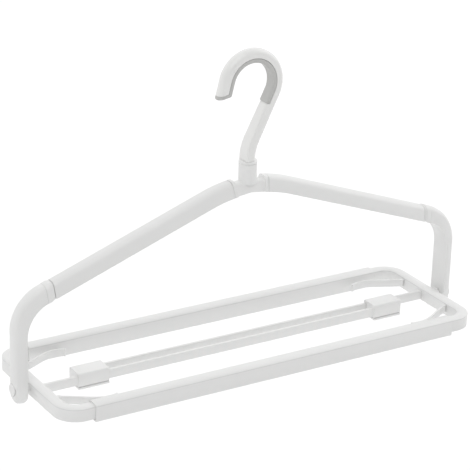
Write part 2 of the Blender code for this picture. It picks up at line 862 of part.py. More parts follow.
def make_pivots():
    """Pin, cap and retaining washer of each pivot."""
    cap_x = cap_inner_x()
    head_x = cap_x - touching_gap
    washer_x = rack_half_width - channel_wall - touching_gap
    tail_x = washer_x - pivot_washer_thickness - pivot_tail
    shaft = pivot_diameter / 2
    for side, sign in (("right", 1), ("left", -1)):
        def along(x, name=side, direction=sign):
            return (direction * x, 0, rack_z)

        pin = solid(side + "_pivot_pin", rod_mesh(along(tail_x), along(head_x), pivot_diameter, small_sides), steel)
        join(pin, rod_mesh(along(head_x - pivot_head_height), along(head_x), pivot_head_diameter), "UNION")
        cap = rod_mesh(along(cap_x), along(cap_x + pivot_cap_height), pivot_cap_diameter)
        solid(side + "_pivot_cap", cap, white_plastic)
        low, high = washer_x - pivot_washer_thickness, washer_x
        hole = shaft + touching_gap
        ring = turned_mesh([
            (hole, high), (pivot_washer_diameter / 2, high), (pivot_washer_diameter / 2, low), (hole, low),
        ], small_sides)
        ring.transform(Matrix.Translation((0, 0, rack_z)) @ Matrix.Rotation(sign * math.pi / 2, 4, "Y"))
        solid(side + "_pivot_washer", ring, steel)


def make_fingers():
    """Four springy strips that lean from the short rails towards the long ones, with tips that curl in."""
    knuckle = finger_knuckle_diameter / 2
    root_x = channel_face - touching_gap - knuckle
    path = [(root_x, finger_root)]
    for reach, spread in zip(finger_reach_shares, finger_spread_shares):
        path.append((root_x - reach * finger_reach, finger_root + spread * finger_spread))
    half = finger_thickness / 2
    low, high = finger_top - finger_height, finger_top
    strip = swept_mesh([(-half, low), (half, low), (half, high), (-half, high)], path)
    droop = Matrix.Identity(4)
    droop[2][0] = finger_droop / finger_reach
    strip.transform(Matrix.Translation((root_x, 0, 0)) @ droop @ Matrix.Translation((-root_x, 0, 0)))
    for side, sign in (("right", 1), ("left", -1)):
        for place, depth in (("rear", 1), ("front", -1)):
            mesh = strip.copy()
            mesh.transform(Matrix.Diagonal((sign, depth, 1, 1)))
            if sign * depth < 0:
                mesh.flip_normals()
            finger = solid(place + "_" + side + "_finger", moved(mesh, (0, 0, rack_z)), white_plastic)
            hinge = (sign * root_x, depth * finger_root, rack_z)
            join(finger, rod_mesh(
                (hinge[0], hinge[1], rack_z + low), (hinge[0], hinge[1], rack_z + high),
                finger_knuckle_diameter, small_sides,
            ), "UNION")


def finger_hinge(side_sign, depth_sign):
    """The upright axis that a finger flexes about."""
    root_x = channel_face - touching_gap - finger_knuckle_diameter / 2
    return (side_sign * root_x, depth_sign * finger_root, rack_z)


def group_by_motion():
    """Hang every moving group on an empty that stands on its joint's axis."""
    pivot = (leg_inner_x, 0, rack_z)
    mouth = (shoulder_end_x, 0, shoulder_end_z)
    groups = {
        "hanger_swivel": (None, (0, 0, bush_top_z), ("swivel_bush", "hub", "left_shoulder_sleeve", "right_shoulder_sleeve")),
        "left_arm_slide": ("hanger_swivel", (-mouth[0], 0, mouth[2]), (
            "left_side_arm", "left_arm_collar", "left_pivot_pin", "left_pivot_cap", "left_pivot_washer")),
        "right_arm_slide": ("hanger_swivel", mouth, (
            "right_side_arm", "right_arm_collar", "right_pivot_pin", "right_pivot_cap", "right_pivot_washer")),
        "rack_fold": ("left_arm_slide", (-pivot[0], 0, rack_z), (
            "left_end_frame", "left_centre_bar", "right_slider")),
        "rail_slide": ("rack_fold", (0, 0, rack_z), ("front_rail_sleeve", "rear_rail_sleeve")),
        "right_end_slide": ("rail_slide", (0, 0, rack_z), (
            "right_end_frame", "right_centre_bar", "left_slider")),
    }
    for side, sign, carrier in (("left", -1, "rack_fold"), ("right", 1, "right_end_slide")):
        for place, depth in (("front", -1), ("rear", 1)):
            name = place + "_" + side + "_finger"
            groups[name + "_flex"] = (carrier, finger_hinge(sign, depth), (name,))
    empties = {}
    for name, (parent, place, members) in groups.items():
        empty = bpy.data.objects.new(name, None)
        parts.objects.link(empty)
        above = Vector(groups[parent][1]) if parent else Vector()
        empty.location = Vector(place) - above
        empty.parent = empties.get(parent)
        empties[name] = empty
        for member in members:
            body = bpy.data.objects[member]
            offset = Vector(place)
            body.data.transform(Matrix.Translation(-offset))
            body.parent = empty
            for modifier in body.modifiers:
                if modifier.type == "BOOLEAN":
                    carry_tool(modifier.object, body, offset)


def carry_tool(cutter, body, offset):
    """Let a cutter ride with its part."""
    cutter.data.transform(Matrix.Translation(-offset))
    cutter.parent = body


def main():
    clear_scene()
    make_hook()
    make_swivel()
    make_shoulders()
    make_arms()
    make_end_frames()
    make_rails()
    make_bars_and_sliders()
    make_pivots()
    make_fingers()
    group_by_motion()
    bpy.context.view_layer.update()


main()
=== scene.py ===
"""Dresses the extending towel hanger: each moulding is modelled over the fixed frame and finished.

Metres, +Z up, +X along the hanger. The origin is the seat of the hook.
"""
import math

import bmesh
import bpy
from mathutils import Matrix, Vector


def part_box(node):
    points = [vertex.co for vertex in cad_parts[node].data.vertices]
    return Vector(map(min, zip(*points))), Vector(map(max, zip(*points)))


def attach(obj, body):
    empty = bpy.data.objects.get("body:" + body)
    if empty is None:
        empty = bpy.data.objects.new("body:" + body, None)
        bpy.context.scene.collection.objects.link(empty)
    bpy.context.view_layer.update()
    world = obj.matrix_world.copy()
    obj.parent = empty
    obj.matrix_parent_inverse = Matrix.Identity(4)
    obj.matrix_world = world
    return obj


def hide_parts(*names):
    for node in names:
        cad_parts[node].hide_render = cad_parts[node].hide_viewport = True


bl_info = {
    "name": "Extending towel hanger",
    "version": (1, 0, 0),
    "blender": (4, 5, 0),
    "location": "3D View > Sidebar > Towel hanger",
    "description": "Models the mouldings of an extending towel hanger and gives them their finishes",
    "category": "Object",
}

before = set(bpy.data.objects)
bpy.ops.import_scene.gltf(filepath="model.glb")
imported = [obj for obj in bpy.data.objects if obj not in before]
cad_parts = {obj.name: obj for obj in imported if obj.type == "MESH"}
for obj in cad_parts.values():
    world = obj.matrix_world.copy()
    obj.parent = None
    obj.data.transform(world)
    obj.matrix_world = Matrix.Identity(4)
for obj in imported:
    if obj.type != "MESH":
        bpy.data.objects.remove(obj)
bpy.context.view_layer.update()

# Corners of the frame's boxes that set heights and reaches
bush_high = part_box("swivel_bush")[1]
hub_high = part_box("hub")[1]
cap_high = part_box("right_pivot_cap")[1]
rail_low, rail_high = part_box("front_rail_sleeve")
slider_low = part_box("right_slider")[0]

# Rounding of small edges
fine_edge = 0.0003
# How far a cutting tool reaches past what it cuts
overshoot = 0.001
# How far off a level something may lie and still count as on it
slack = 0.0001


def length(name, default, description):
    """A length that a user may change."""
    return bpy.props.FloatProperty(
        name=name, description=description, default=default, min=0, precision=5, unit="LENGTH",
        subtype="DISTANCE",
    )


def angle(name, degrees, description):
    """An angle that a user may change."""
    return bpy.props.FloatProperty(
        name=name, description=description, default=math.radians(degrees), unit="ROTATION", subtype="ANGLE",
    )


def colour(name, default, description):
    """A colour that a user may change."""
    return bpy.props.FloatVectorProperty(
        name=name, description=description, default=default, min=0, max=1, size=3, subtype="COLOR",
    )


def share(name, default, description):
    """A plain number from nothing up."""
    return bpy.props.FloatProperty(name=name, description=description, default=default, min=0, precision=4)


class HookSizes(bpy.types.PropertyGroup):
    inner_radius: length("Inner radius", 0.0227, "Radius of the inside of the bend, to the liner")
    band: length("Band", 0.0126, "Thickness of the band, across the bend")
    depth: length("Depth", 0.0138, "Width of the band over the bend, from front to back")
    foot_depth: length("Foot depth", 0.0166, "Width of the band at its foot")
    back_round: length("Back rounding", 0.0062, "Rounding of the band's back")
    inner_round: length("Inner rounding", 0.0018, "Rounding of the band's inner edges")
    tip_length: length("Tip", 0.0181, "Straight length before the tip")
    tip_slant: angle("Tip slant", 24, "How far the tip is cut back on its inner side")
    tip_flare: angle("Tip flare", 13.2, "Lean of the tip away from the neck")
    neck_lean: angle("Neck lean", 25.8, "Lean of the straight neck")
    neck_bend: length("Neck bend", 0.0453, "Radius of the bend above the swivel")
    foot_height: length("Foot height", 0.0017, "Height of the bend's start above the bush")
    foot_gap: length("Foot gap", 0.0003, "Gap between the band's foot and the bush")
    liner_proud: length("Liner proud", 0.0013, "How far the liner stands out of the band")
    liner_edge: length("Liner edge", 0.0044, "Height of the liner's sides")
    liner_run: length("Liner run", 0.0125, "How far the liner runs down the neck")
    liner_seam: length("Liner seam", 0.0003, "Gap between the liner and the band")
    pad: length("Tip pad", 0.0040, "Thickness of the liner's pad over the tip")
    pad_round: length("Pad rounding", 0.0015, "Rounding of the pad's lower edge")


class SwivelSizes(bpy.types.PropertyGroup):
    bush_diameter: length("Bush", 0.0190, "Diameter of the bush's rim")
    groove: length("Groove", 0.0007, "Depth of the groove round the rim")
    groove_drop: length("Groove drop", 0.0030, "Distance of the groove below the bush's top")
    line_drop: length("Line drop", 0.0052, "Distance of the fine line below the bush's top")
    socket_diameter: length("Socket", 0.0190, "Diameter of the hub's upright socket")
    rim_round: length("Rim rounding", 0.0006, "Rounding of the rim's upper edge")
    socket_height: length("Socket height", 0.0234, "Height of the socket's top above the hub's base line")
    recess_diameter: length("Recess", 0.0150, "Diameter of the recess for the washer and screw")
    recess_depth: length("Recess depth", 0.0062, "Depth of that recess")
    bead_width: length("Bead", 0.0034, "Width of the bead beside each sleeve")
    bead_inset: length("Bead inset", 0.00012, "How far the bead lies below the sleeve's surface")
    bead_gap: length("Bead gap", 0.0001, "Gap between the bead and the sleeve's end")
    tube_gap: length("Tube gap", 0.0003, "Play between the hub's tube and the sleeve on it")
    tube_turn: angle("Tube turn", 9.4538, "How far the hub's tube bends inside the sleeve")
    sleeve_drop: length("Sleeve drop", 0.0004, "Drop of the sleeves' hollow below the hub's base line")
    slope: angle("Slope", 7, "Slope of the hub's cross tube at its middle")

    @property
    def base(self):
        """Height of the hub's base line."""
        return hub_high.z - self.socket_height


class SleeveSizes(bpy.types.PropertyGroup):
    slope: angle("Slope", 19.8, "Slope of the straight shoulder")
    start: length("Start", 0.0200, "Distance from the middle to the sleeve's upper end")
    start_slope: angle("Start slope", 9, "Slope of the sleeve at its upper end")
    bend: length("Bend", 0.145, "Radius of the shoulder's bend")
    mouth_slope: angle("Mouth", 5, "Lean of the mouth from upright")
    wall: length("Wall", 0.0015, "Wall of the sleeve")
    foot_half: length("Foot", 0.0112, "Half width of the section at its foot")
    top_half: length("Top", 0.0070, "Half width of the section at its top, before the rounding")
    height: length("Height", 0.0156, "Height of the section")
    rounding: length("Rounding", 0.0047, "Rounding of the section's upper edges")
    rim_round: length("Rim", 0.00035, "Rounding of the rims")

    @property
    def slant(self):
        """How much taller the leaning mouth is than the section."""
        return 1 / math.cos(self.slope - self.mouth_slope)


class ArmSizes(bpy.types.PropertyGroup):
    clearance: length("Clearance", 0.0019, "Wall and play between the slide and the sleeve's outside")
    free_end: length("Free end", 0.0140, "Length of sleeve beyond the slide's hidden end")
    collar_gap: length("Collar gap", 0.0034, "Gap between the mouth of the sleeve and the collar")
    collar_width: length("Collar", 0.0057, "Width of the collar")
    collar_seam: length("Collar seam", 0.0001, "Gap between the collar and the arm")
    collar_step: length("Collar step", 0.0001, "How far the collar stands out")
    collar_flare: share("Collar flare", 1.3, "How much more the collar stands out at its foot")
    nose_start: length("Nose start", 0.0007, "Gap between the mouth of the sleeve and the collar's nose")
    nose_inset: length("Nose inset", 0.0006, "How far the collar's nose lies below its surface")
    slide_flare: share("Slide flare", 1.035, "How much more the slide is narrowed at its foot")
    slide_root: length("Slide root", 0.0020, "How far the slide reaches into the arm")
    height: length("Height", 0.0163, "Height of the arm's section at the collar")
    bend: length("Bend", 0.0355, "Radius of the bend into the leg, along its inner side")
    leg_length: length("Leg", 0.0575, "Length of the leg from the bend to the pivot")
    leg_half: length("Leg half width", 0.0121, "Half width of the leg")
    leg_depth: length("Leg depth", 0.0121, "Depth of the leg, across")
    end_drop: length("End drop", 0.0159, "How far the leg runs on below the pivot")
    taper: share("Taper", 1.5, "How late in the bend the section narrows")
    cap_diameter: length("Cap", 0.0128, "Diameter of the pivot's cap")
    cap_height: length("Cap height", 0.0014, "Height of the pivot's cap")
    cap_proud: length("Cap proud", 0.0004, "How far the cap stands out of the leg")
    cap_gap: length("Cap gap", 0.0003, "Gap round the cap in its seat")
    seat_extra: length("Seat depth", 0.0002, "How much deeper the seat is than the cap is high")

    @property
    def start(self):
        """Distance from the sleeve's mouth to the arm's own end."""
        return self.collar_gap + self.collar_width + self.collar_seam

    @property
    def inner(self):
        """Inner face of the right leg."""
        return cap_high.x - self.cap_proud - self.leg_depth


class RackSizes(bpy.types.PropertyGroup):
    rail_width: length("Rail width", 0.0152, "Width of the long rails")
    rail_top: length("Rail top", 0.0078, "Height of a rail above the pivots")
    rail_crown: length("Rail crown", 0.0024, "Rise of a rail's arched top")
    rail_wall: length("Rail wall", 0.0012, "Wall of a rail")
    rail_edge: length("Rail edges", 0.0010, "Rounding of a rail's lower edges")
    play: length("Play", 0.0004, "Play between a rail and the end frame in it")
    frame_foot: length("Frame foot", 0.0082, "Drop of the end frames below the pivots")
    frame_crown: length("Frame crown", 0.0018, "Rise of an end frame's arched top")
    frame_wall: length("Frame wall", 0.0018, "Wall of an end frame")
    frame_bend: length("Frame corners", 0.0190, "Radius of the end frames' corners")
    stub_end: length("Stub ends", 0.0040, "Distance from the middle to the hidden ends of the frames")
    boss_diameter: length("Boss", 0.0100, "Diameter of the pivot's boss")
    pin_hole: length("Pin hole", 0.0060, "Diameter of the pivot's hole")
    bar_thickness: length("Bar thickness", 0.0032, "Thickness of the centre bars")
    bar_height: length("Bar height", 0.0100, "Height of the centre bars")
    bar_top: length("Bar top", 0.0025, "Height of the bars' tops above the pivots")
    bar_spread: length("Bar spread", 0.0072, "Distance of each bar from the middle line")
    bar_reach: length("Bar reach", 0.0040, "How far a bar reaches past the end frame's inner wall")
    notch_gap: length("Notch gap", 0.0003, "Play between a bar and its notch in the end frame")
    slider_half: length("Slider half width", 0.0104, "Half width of a slider")
    slider_lip: length("Slider lip", 0.0024, "Height of a slider's lip")
    slider_groove: length("Slider groove", 0.0010, "Depth of the groove above the lip")
    slider_round: length("Slider rounding", 0.0018, "Rounding of a slider's upper edges")
    edge: length("Edges", 0.0004, "Rounding of small edges")

    @property
    def pivot(self):
        """Height of the pivots."""
        return rail_high.z - self.rail_top

    @property
    def channel_half(self):
        """Half width of an end frame's channel."""
        return self.rail_width / 2 - self.rail_wall - self.play

    @property
    def channel_top(self):
        """Height of an end frame above the pivots."""
        return self.rail_top - self.rail_wall - self.play

    @property
    def side_line(self):
        """Distance of the long rails' middle lines from the middle."""
        return -(rail_low.y + rail_high.y) / 2

    @property
    def end_line(self):
        """Distance of the short rails' middle lines from the middle."""
        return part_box("right_centre_bar")[1].x - self.bar_reach - self.frame_wall + self.channel_half


class FingerSizes(bpy.types.PropertyGroup):
    height: length("Height", 0.0081, "Height of a finger's strip")
    thickness: length("Thickness", 0.0022, "Thickness of a finger's strip")
    top: length("Top", 0.0036, "Height of a finger above the pivots, at its root")
    knuckle: length("Knuckle", 0.0042, "Diameter of the root")
    root: length("Root", 0.0395, "Distance of the root from the middle line")
    root_gap: length("Root gap", 0.0003, "Gap between a finger's root and the end frame")
    reach: length("Reach", 0.0562, "How far a finger reaches along the rack")
    spread: length("Spread", 0.0194, "How far a finger leans towards its rail")
    droop: length("Droop", 0.0020, "How far a finger falls towards its tip")
    edge: length("Edges", 0.0005, "Rounding of a finger's edges")


class FinishChoices(bpy.types.PropertyGroup):
    plastic: colour("Plastic", (0.845, 0.845, 0.838), "Colour of the white mouldings")
    plastic_shade: colour("Plastic, shaded", (0.800, 0.802, 0.797), "Darker shade in its faint mottling")
    hook: colour("Hook", (0.875, 0.875, 0.868), "Colour of the hook's glossier plastic")
    rubber: colour("Rubber", (0.615, 0.615, 0.60), "Colour of the soft liner")
    rubber_shade: colour("Rubber, shaded", (0.485, 0.485, 0.475), "Darker grain of the soft liner")
    steel: colour("Steel", (0.62, 0.62, 0.61), "Colour of the pins, washers and screw")
    gloss: share("Plastic roughness", 0.36, "Roughness of the white mouldings")
    hook_gloss: share("Hook roughness", 0.27, "Roughness of the hook")


class StageChoices(bpy.types.PropertyGroup):
    azimuth: angle("Azimuth", 31.99, "How far the camera stands round to the left of the front")
    elevation: angle("Elevation", 22.39, "How far the camera looks down")
    roll: angle("Roll", 1.92, "Lean of the camera")
    distance: length("Distance", 2.15617, "Distance from the camera to the middle of the view")
    aside: bpy.props.FloatProperty(
        name="Aside", description="Shift of the view's middle to the right", default=-0.01067, unit="LENGTH",
    )
    above: length("Above", 0.11604, "Height of the view's middle above the pivots")
    lens: share("Lens", 159.55, "Focal length of the camera, in millimetres")
    floor_drop: length("Floor drop", 0.62, "Distance from the hanger to the floor below it")
    floor: colour("Floor", (0.93, 0.93, 0.93), "Colour of the floor")
    floor_glow: share("Floor glow", 0.12, "How much whiter the floor looks than it shines on the hanger")
    front_world: share("Front surround", 0.33, "Strength of the surrounding light from the front")
    rear_world: share("Rear surround", 0.94, "Strength of the surrounding light from behind")
    fade: share("Fade", 0.6, "How far to the front and the back the surround's change reaches")
    key_light: share("Key light", 0.99, "Strength of the broad light from the upper left")
    side_light: share("Side light", 0.66, "Strength of the broad light from the right")
    lamp_spread: angle("Lamp spread", 50, "How broad both lights are")


# Modelling by hand
def set_down():
    """Leave edit mode and let go of everything."""
    if bpy.context.mode != "OBJECT":
        bpy.ops.object.mode_set(mode="OBJECT")
    bpy.ops.object.select_all(action="DESELECT")


def hold(thing):
    """Select one piece alone."""
    set_down()
    thing.select_set(True)
    bpy.context.view_layer.objects.active = thing


def take_up(thing):
    """Open a piece in edit mode, all of it selected."""
    hold(thing)
    bpy.ops.object.mode_set(mode="EDIT")
    bpy.ops.mesh.select_all(action="SELECT")


def started(name):
    """Name the primitive that was just added, put its place in its mesh and open it."""
    thing = bpy.context.object
    thing.name = name
    thing.data.name = name
    bpy.ops.object.transform_apply(location=True, rotation=True, scale=True)
    take_up(thing)
    return thing


def middle(item):
    """The middle of a corner, an edge or a face."""
    if isinstance(item, bmesh.types.BMVert):
        return item.co
    if isinstance(item, bmesh.types.BMEdge):
        return (item.verts[0].co + item.verts[1].co) / 2
    return item.calc_center_median()


def pick(kind, test):
    """Select the corners, edges or faces that pass a test."""
    mesh = bpy.context.edit_object.data
    bpy.ops.mesh.select_mode(type=kind)
    bpy.ops.mesh.select_all(action="DESELECT")
    work = bmesh.from_edit_mesh(mesh)
    items = {"VERT": work.verts, "EDGE": work.edges, "FACE": work.faces}[kind]
    count = 0
    for item in items:
        if test(item):
            item.select_set(True)
            count += 1
    bmesh.update_edit_mesh(mesh)
    if not count:
        raise RuntimeError("nothing to select on " + bpy.context.edit_object.name)


def shift(vector):
    """Move what is selected."""
    bpy.ops.transform.translate(value=vector)


def stretch(factors, centre, axes=None):
    """Scale what is selected about a point, along the world's axes or given ones."""
    if axes is None:
        bpy.ops.transform.resize(value=factors, center_override=centre)
        return
    bpy.ops.transform.resize(
        value=factors, center_override=centre, orient_type="LOCAL", orient_matrix=axes,
        orient_matrix_type="LOCAL",
    )


def turn(radians, axis, centre):
    """Turn what is selected, right-handed about an axis through a point."""
    bpy.ops.transform.rotate(value=-radians, orient_axis=axis, center_override=centre)


def pull(vector):
    """Extrude what is selected."""
    bpy.ops.mesh.extrude_region_move(TRANSFORM_OT_translate={"value": vector})


def swing(radians, axis, centre, steps):
    """Spin what is selected, right-handed about an axis through a point."""
    bpy.ops.mesh.spin(steps=steps, angle=-radians, center=centre, axis=axis)


def round_off(kind, radius, steps):
    """Round the corners or edges that are selected."""
    bpy.ops.mesh.bevel(offset=radius, segments=steps, affect=kind)


def soften(thing, width, limit=50, segments=2):
    """Round the hard edges of a piece with a Bevel modifier, and apply it."""
    bevel = thing.modifiers.new("edges", "BEVEL")
    bevel.limit_method = "ANGLE"
    bevel.angle_limit = math.radians(limit)
    bevel.width = width
    bevel.segments = segments
    bevel.miter_outer = "MITER_ARC"
    bevel.use_clamp_overlap = True
    apply(thing, bevel)


def apply(thing, modifier):
    """Apply one modifier."""
    hold(thing)
    bpy.ops.object.modifier_apply(modifier=modifier.name)


def outwards(thing):
    """Merge doubles and turn all faces outwards."""
    take_up(thing)
    bpy.ops.mesh.remove_doubles(threshold=0.000002)
    bpy.ops.mesh.select_all(action="SELECT")
    bpy.ops.mesh.normals_make_consistent(inside=False)
    set_down()


def thicken(thing, wall):
    """Give an open shell a wall that grows inwards."""
    solidify = thing.modifiers.new("wall", "SOLIDIFY")
    solidify.thickness = wall
    solidify.offset = -1
    solidify.use_even_offset = True
    apply(thing, solidify)


def cut(thing, tool, operation="DIFFERENCE"):
    """Cut one piece with another, or add it, and remove the tool."""
    boolean = thing.modifiers.new("cut", "BOOLEAN")
    boolean.operation = operation
    boolean.solver = "EXACT"
    boolean.object = tool
    apply(thing, boolean)
    bpy.data.objects.remove(tool, do_unlink=True)


def smooth(thing, limit=30):
    """Shade a piece smooth except at its hard edges."""
    hold(thing)
    bpy.ops.object.shade_smooth_by_angle(angle=math.radians(limit))
    set_down()


def twin(thing, name, factors=(-1, 1, 1)):
    """A mirrored copy with its own mesh."""
    hold(thing)
    bpy.ops.object.duplicate()
    copy = bpy.context.object
    copy.name = name
    copy.data.name = name
    take_up(copy)
    stretch(factors, (0, 0, 0))
    if math.prod(factors) < 0:
        bpy.ops.mesh.flip_normals()
    set_down()
    return copy


def block(name, low, high):
    """A box between two corners, open in edit mode."""
    set_down()
    low, high = Vector(low), Vector(high)
    bpy.ops.mesh.primitive_cube_add(size=1, location=(low + high) / 2, scale=high - low)
    return started(name)


def rod(name, centre, diameter, height, sides=48, axis="Z"):
    """A round rod along Z or X, open in edit mode."""
    set_down()
    rotation = (0, math.pi / 2, 0) if axis == "X" else (0, 0, 0)
    bpy.ops.mesh.primitive_cylinder_add(
        vertices=sides, radius=diameter / 2, depth=height, location=centre, rotation=rotation,
    )
    return started(name)


def turned(name, outline, sides=64):
    """A turned piece from (radius, height) steps, pulled up from a disc."""
    set_down()
    radius, height = outline[0]
    bpy.ops.mesh.primitive_circle_add(
        vertices=sides, radius=radius, fill_type="NGON", location=(0, 0, height),
    )
    thing = started(name)
    for next_radius, next_height in outline[1:]:
        pull((0, 0, next_height - height))
        factor = next_radius / radius
        stretch((factor, factor, 1), (0, 0, next_height))
        radius, height = next_radius, next_height
    outwards(thing)
    return thing


def upright(name, width, low, high):
    """A plain end, upright at the origin between two heights, open in edit mode."""
    set_down()
    bpy.ops.mesh.primitive_plane_add(size=1, rotation=(0, math.pi / 2, 0))
    thing = started(name)
    stretch((1, width, high - low), (0, 0, 0))
    shift((0, 0, (high + low) / 2))
    return thing


def arch_end(name, foot_half, top_half, height, rounding, steps=7):
    """The arched end of a moulding, upright at the origin with its foot on the ground."""
    thing = upright(name, 2 * foot_half, 0, height)
    pick("VERT", lambda vert: vert.co.z > height / 2)
    stretch((1, top_half / foot_half, 1), (0, 0, 0))
    round_off("VERTICES", rounding, steps)
    bpy.ops.mesh.select_all(action="SELECT")
    return thing


def crowned_end(name, half, foot, top, crown, steps=9):
    """The end of a rail or channel with a low arched top, upright at the origin."""
    thing = upright(name, 2 * half, -foot, top)
    pick("VERT", lambda vert: vert.co.z > 0)
    shift((0, 0, half - crown))
    # The two roundings stop just short of meeting in the middle
    round_off("VERTICES", half * 0.998, steps)
    shoulder = top - crown
    pick("VERT", lambda vert: vert.co.z > shoulder)
    stretch((1, 1, crown / half), (0, 0, shoulder))
    bpy.ops.mesh.select_all(action="SELECT")
    return thing


def set_end(place):
    """Move the selected end from the origin to its first station of (x, z, slope, side, up)."""
    x, z, slope, side, up = place
    stretch((1, side, up), (0, 0, 0))
    turn(slope, "Y", (0, 0, 0))
    shift((x, 0, z))


def facing(slope):
    """The ways along a drawn piece that slopes down, and out of its upper side."""
    return Vector((math.cos(slope), 0, -math.sin(slope))), Vector((math.sin(slope), 0, math.cos(slope)))


def draw(places):
    """Pull the selected end through stations of (x, z, slope, side, up); side and up are shares."""
    now = places[0]
    for place in places[1:]:
        x, z, slope, side, up = place
        pull((x - now[0], 0, z - now[1]))
        if slope != now[2]:
            turn(slope - now[2], "Y", (x, 0, z))
        if side != now[3] or up != now[4]:
            along, down = math.cos(slope), math.sin(slope)
            axes = (along, 0, -down), (0, 1, 0), (down, 0, along)
            stretch((1, side / now[3], up / now[4]), (x, 0, z), axes)
        now = place


def open_ends(thing):
    """Turn a drawn tube's faces outwards and delete its end faces."""
    outwards(thing)
    take_up(thing)
    pick("FACE", lambda face: len(face.verts) > 4)
    bpy.ops.mesh.delete(type="FACE")
    set_down()


# Shader maths as plain sums
class Wire:
    """An output of a node that can stand in sums."""

    def __init__(self, nodes, socket):
        self.nodes = nodes
        self.socket = socket

    def sum(self, operation, *values):
        """Put values through one Math node."""
        return self.nodes.node("ShaderNodeMath", {"operation": operation}, dict(enumerate(values)))

    def __abs__(self):
        return self.sum("ABSOLUTE", self)

    def __add__(self, other):
        return self.sum("ADD", self, other)

    def __radd__(self, other):
        return self.sum("ADD", other, self)

    def __sub__(self, other):
        return self.sum("SUBTRACT", self, other)

    def __rsub__(self, other):
        return self.sum("SUBTRACT", other, self)

    def __mul__(self, other):
        return self.sum("MULTIPLY", self, other)

    def __rmul__(self, other):
        return self.sum("MULTIPLY", other, self)


class Nodes:
    """A node tree that is built up in plain steps."""

    def __init__(self, tree):
        self.tree = tree

    def node(self, kind, settings, inputs, output=0):
        """Add a node, set it up, fill its sockets and give back one output."""
        made = self.tree.nodes.new(kind)
        for name, value in settings.items():
            if name == "stops":
                self.set_stops(made.color_ramp.elements, value)
            else:
                setattr(made, name, value)
        for name, value in inputs.items():
            self.fill(made.inputs[name], value)
        return Wire(self, made.outputs[output])

    def set_stops(self, elements, stops):
        """Give a ramp its stops, each a position and a grey."""
        while len(elements) < len(stops):
            elements.new(0.5)
        for element, (position, grey) in zip(list(elements), stops):
            element.position = position
            element.color = (grey, grey, grey, 1)

    def fill(self, socket, value):
        """Link a socket to an output, or set its value."""
        if isinstance(value, Wire):
            self.tree.links.new(value.socket, socket)
        elif isinstance(value, (tuple, list)) and len(value) == 3 and socket.type == "RGBA":
            socket.default_value = (*value, 1)
        else:
            socket.default_value = value


class Finish(Nodes):
    """A material of nodes."""

    def __init__(self, name):
        self.material = bpy.data.materials.new(name)
        self.material.use_nodes = True
        super().__init__(self.material.node_tree)
        self.shader = self.tree.nodes["Principled BSDF"]
        self.place = self.node("ShaderNodeTexCoord", {}, {}, "Object")

    def shade(self, **values):
        """Fill the shader's own sockets, named with low lines for spaces."""
        for name, value in values.items():
            self.fill(self.shader.inputs[name.replace("_", " ")], value)

    def noise(self, scale, detail=2.0, rough=0.5, along=(1, 1, 1)):
        """Noise over the piece, stretched where a share is under one."""
        spread = self.node("ShaderNodeMapping", {}, {"Vector": self.place, "Scale": along})
        return self.node("ShaderNodeTexNoise", {}, {
            "Vector": spread, "Scale": scale, "Detail": detail, "Roughness": rough,
        })

    def ramp(self, value, stops):
        """A value put through a ramp of (position, grey) stops."""
        return self.node("ShaderNodeValToRGB", {"stops": stops}, {0: value})

    def line(self, level, half_width):
        """One at a height on the piece, fading to nothing half a width above and below it."""
        height = self.node("ShaderNodeSeparateXYZ", {}, {0: self.place}, "Z")
        near = 1 - abs(height - level) * (1 / half_width)
        return near.sum("MAXIMUM", near, 0)

    def blend(self, factor, first, second):
        """A colour between two colours."""
        return self.node(
            "ShaderNodeMix", {"data_type": "RGBA"}, {"Factor": factor, 6: first, 7: second}, 2,
        )

    def bump(self, height, strength, distance):
        """A normal from a height."""
        return self.node(
            "ShaderNodeBump", {}, {"Height": height, "Strength": strength, "Distance": distance},
        )


def moulded_plastic(name, light, shade, roughness, along, flow, painted_shade_line=None):
    """White moulded plastic: faint mottling, flow marks, a fine matt grain and hairline scuffs.

    A painted shade line is a level line of (height, half width, depth), painted a little darker than the rest
    as the shade along an arris or in a groove.
    """
    finish = Finish(name)
    mottle = finish.noise(26.0, 3.0, 0.55)
    flow_marks = finish.noise(60.0, 2.0, 0.5, along)
    grain = finish.noise(2600.0, 2.0, 0.6)
    swell = finish.noise(85.0, 1.0, 0.4)
    scuffs = finish.ramp(finish.noise(420.0, 4.0, 0.7, along), ((0.0, 0.0), (0.62, 0.0), (0.70, 1.0)))
    specks = finish.ramp(finish.noise(900.0, 1.0, 0.3), ((0.0, 0.0), (0.74, 0.0), (0.80, 1.0)))
    tone = mottle * 0.55 + flow_marks * flow
    skin = finish.blend(tone + specks * 0.12, light, shade)
    # Painted shade: a level band painted darker, standing in for the shade that falls along an arris or in a
    # groove
    if painted_shade_line:
        level, half_width, depth = painted_shade_line
        painted_shade_colour = tuple(0.6 * part for part in light)
        skin = finish.blend(finish.line(level, half_width) * depth, skin, painted_shade_colour)
    finish.shade(
        Base_Color=skin,
        Roughness=roughness + (grain - 0.5) * 0.10 + (mottle - 0.5) * 0.08 + scuffs * 0.10,
        IOR=1.49,
        Normal=finish.bump(grain * 0.25 + swell * 1.4 + scuffs * 0.2, 0.35, 0.00006),
    )
    return finish.material


def soft_rubber(name, light, shade):
    """Soft grey rubber with a pebbled grain and a dusty bloom."""
    finish = Finish(name)
    pebbles = finish.node("ShaderNodeTexVoronoi", {"feature": "SMOOTH_F1"}, {
        "Vector": finish.place, "Scale": 1300.0, "Smoothness": 0.4,
    })
    bloom = finish.noise(95.0, 4.0, 0.6)
    grain = finish.noise(3000.0, 2.0, 0.6)
    finish.shade(
        Base_Color=finish.blend(bloom * 0.7 + pebbles * 0.35, light, shade),
        Roughness=0.62 + (bloom - 0.5) * 0.18,
        Normal=finish.bump(pebbles * -1.0 + grain * 0.3, 0.5, 0.00012),
    )
    return finish.material


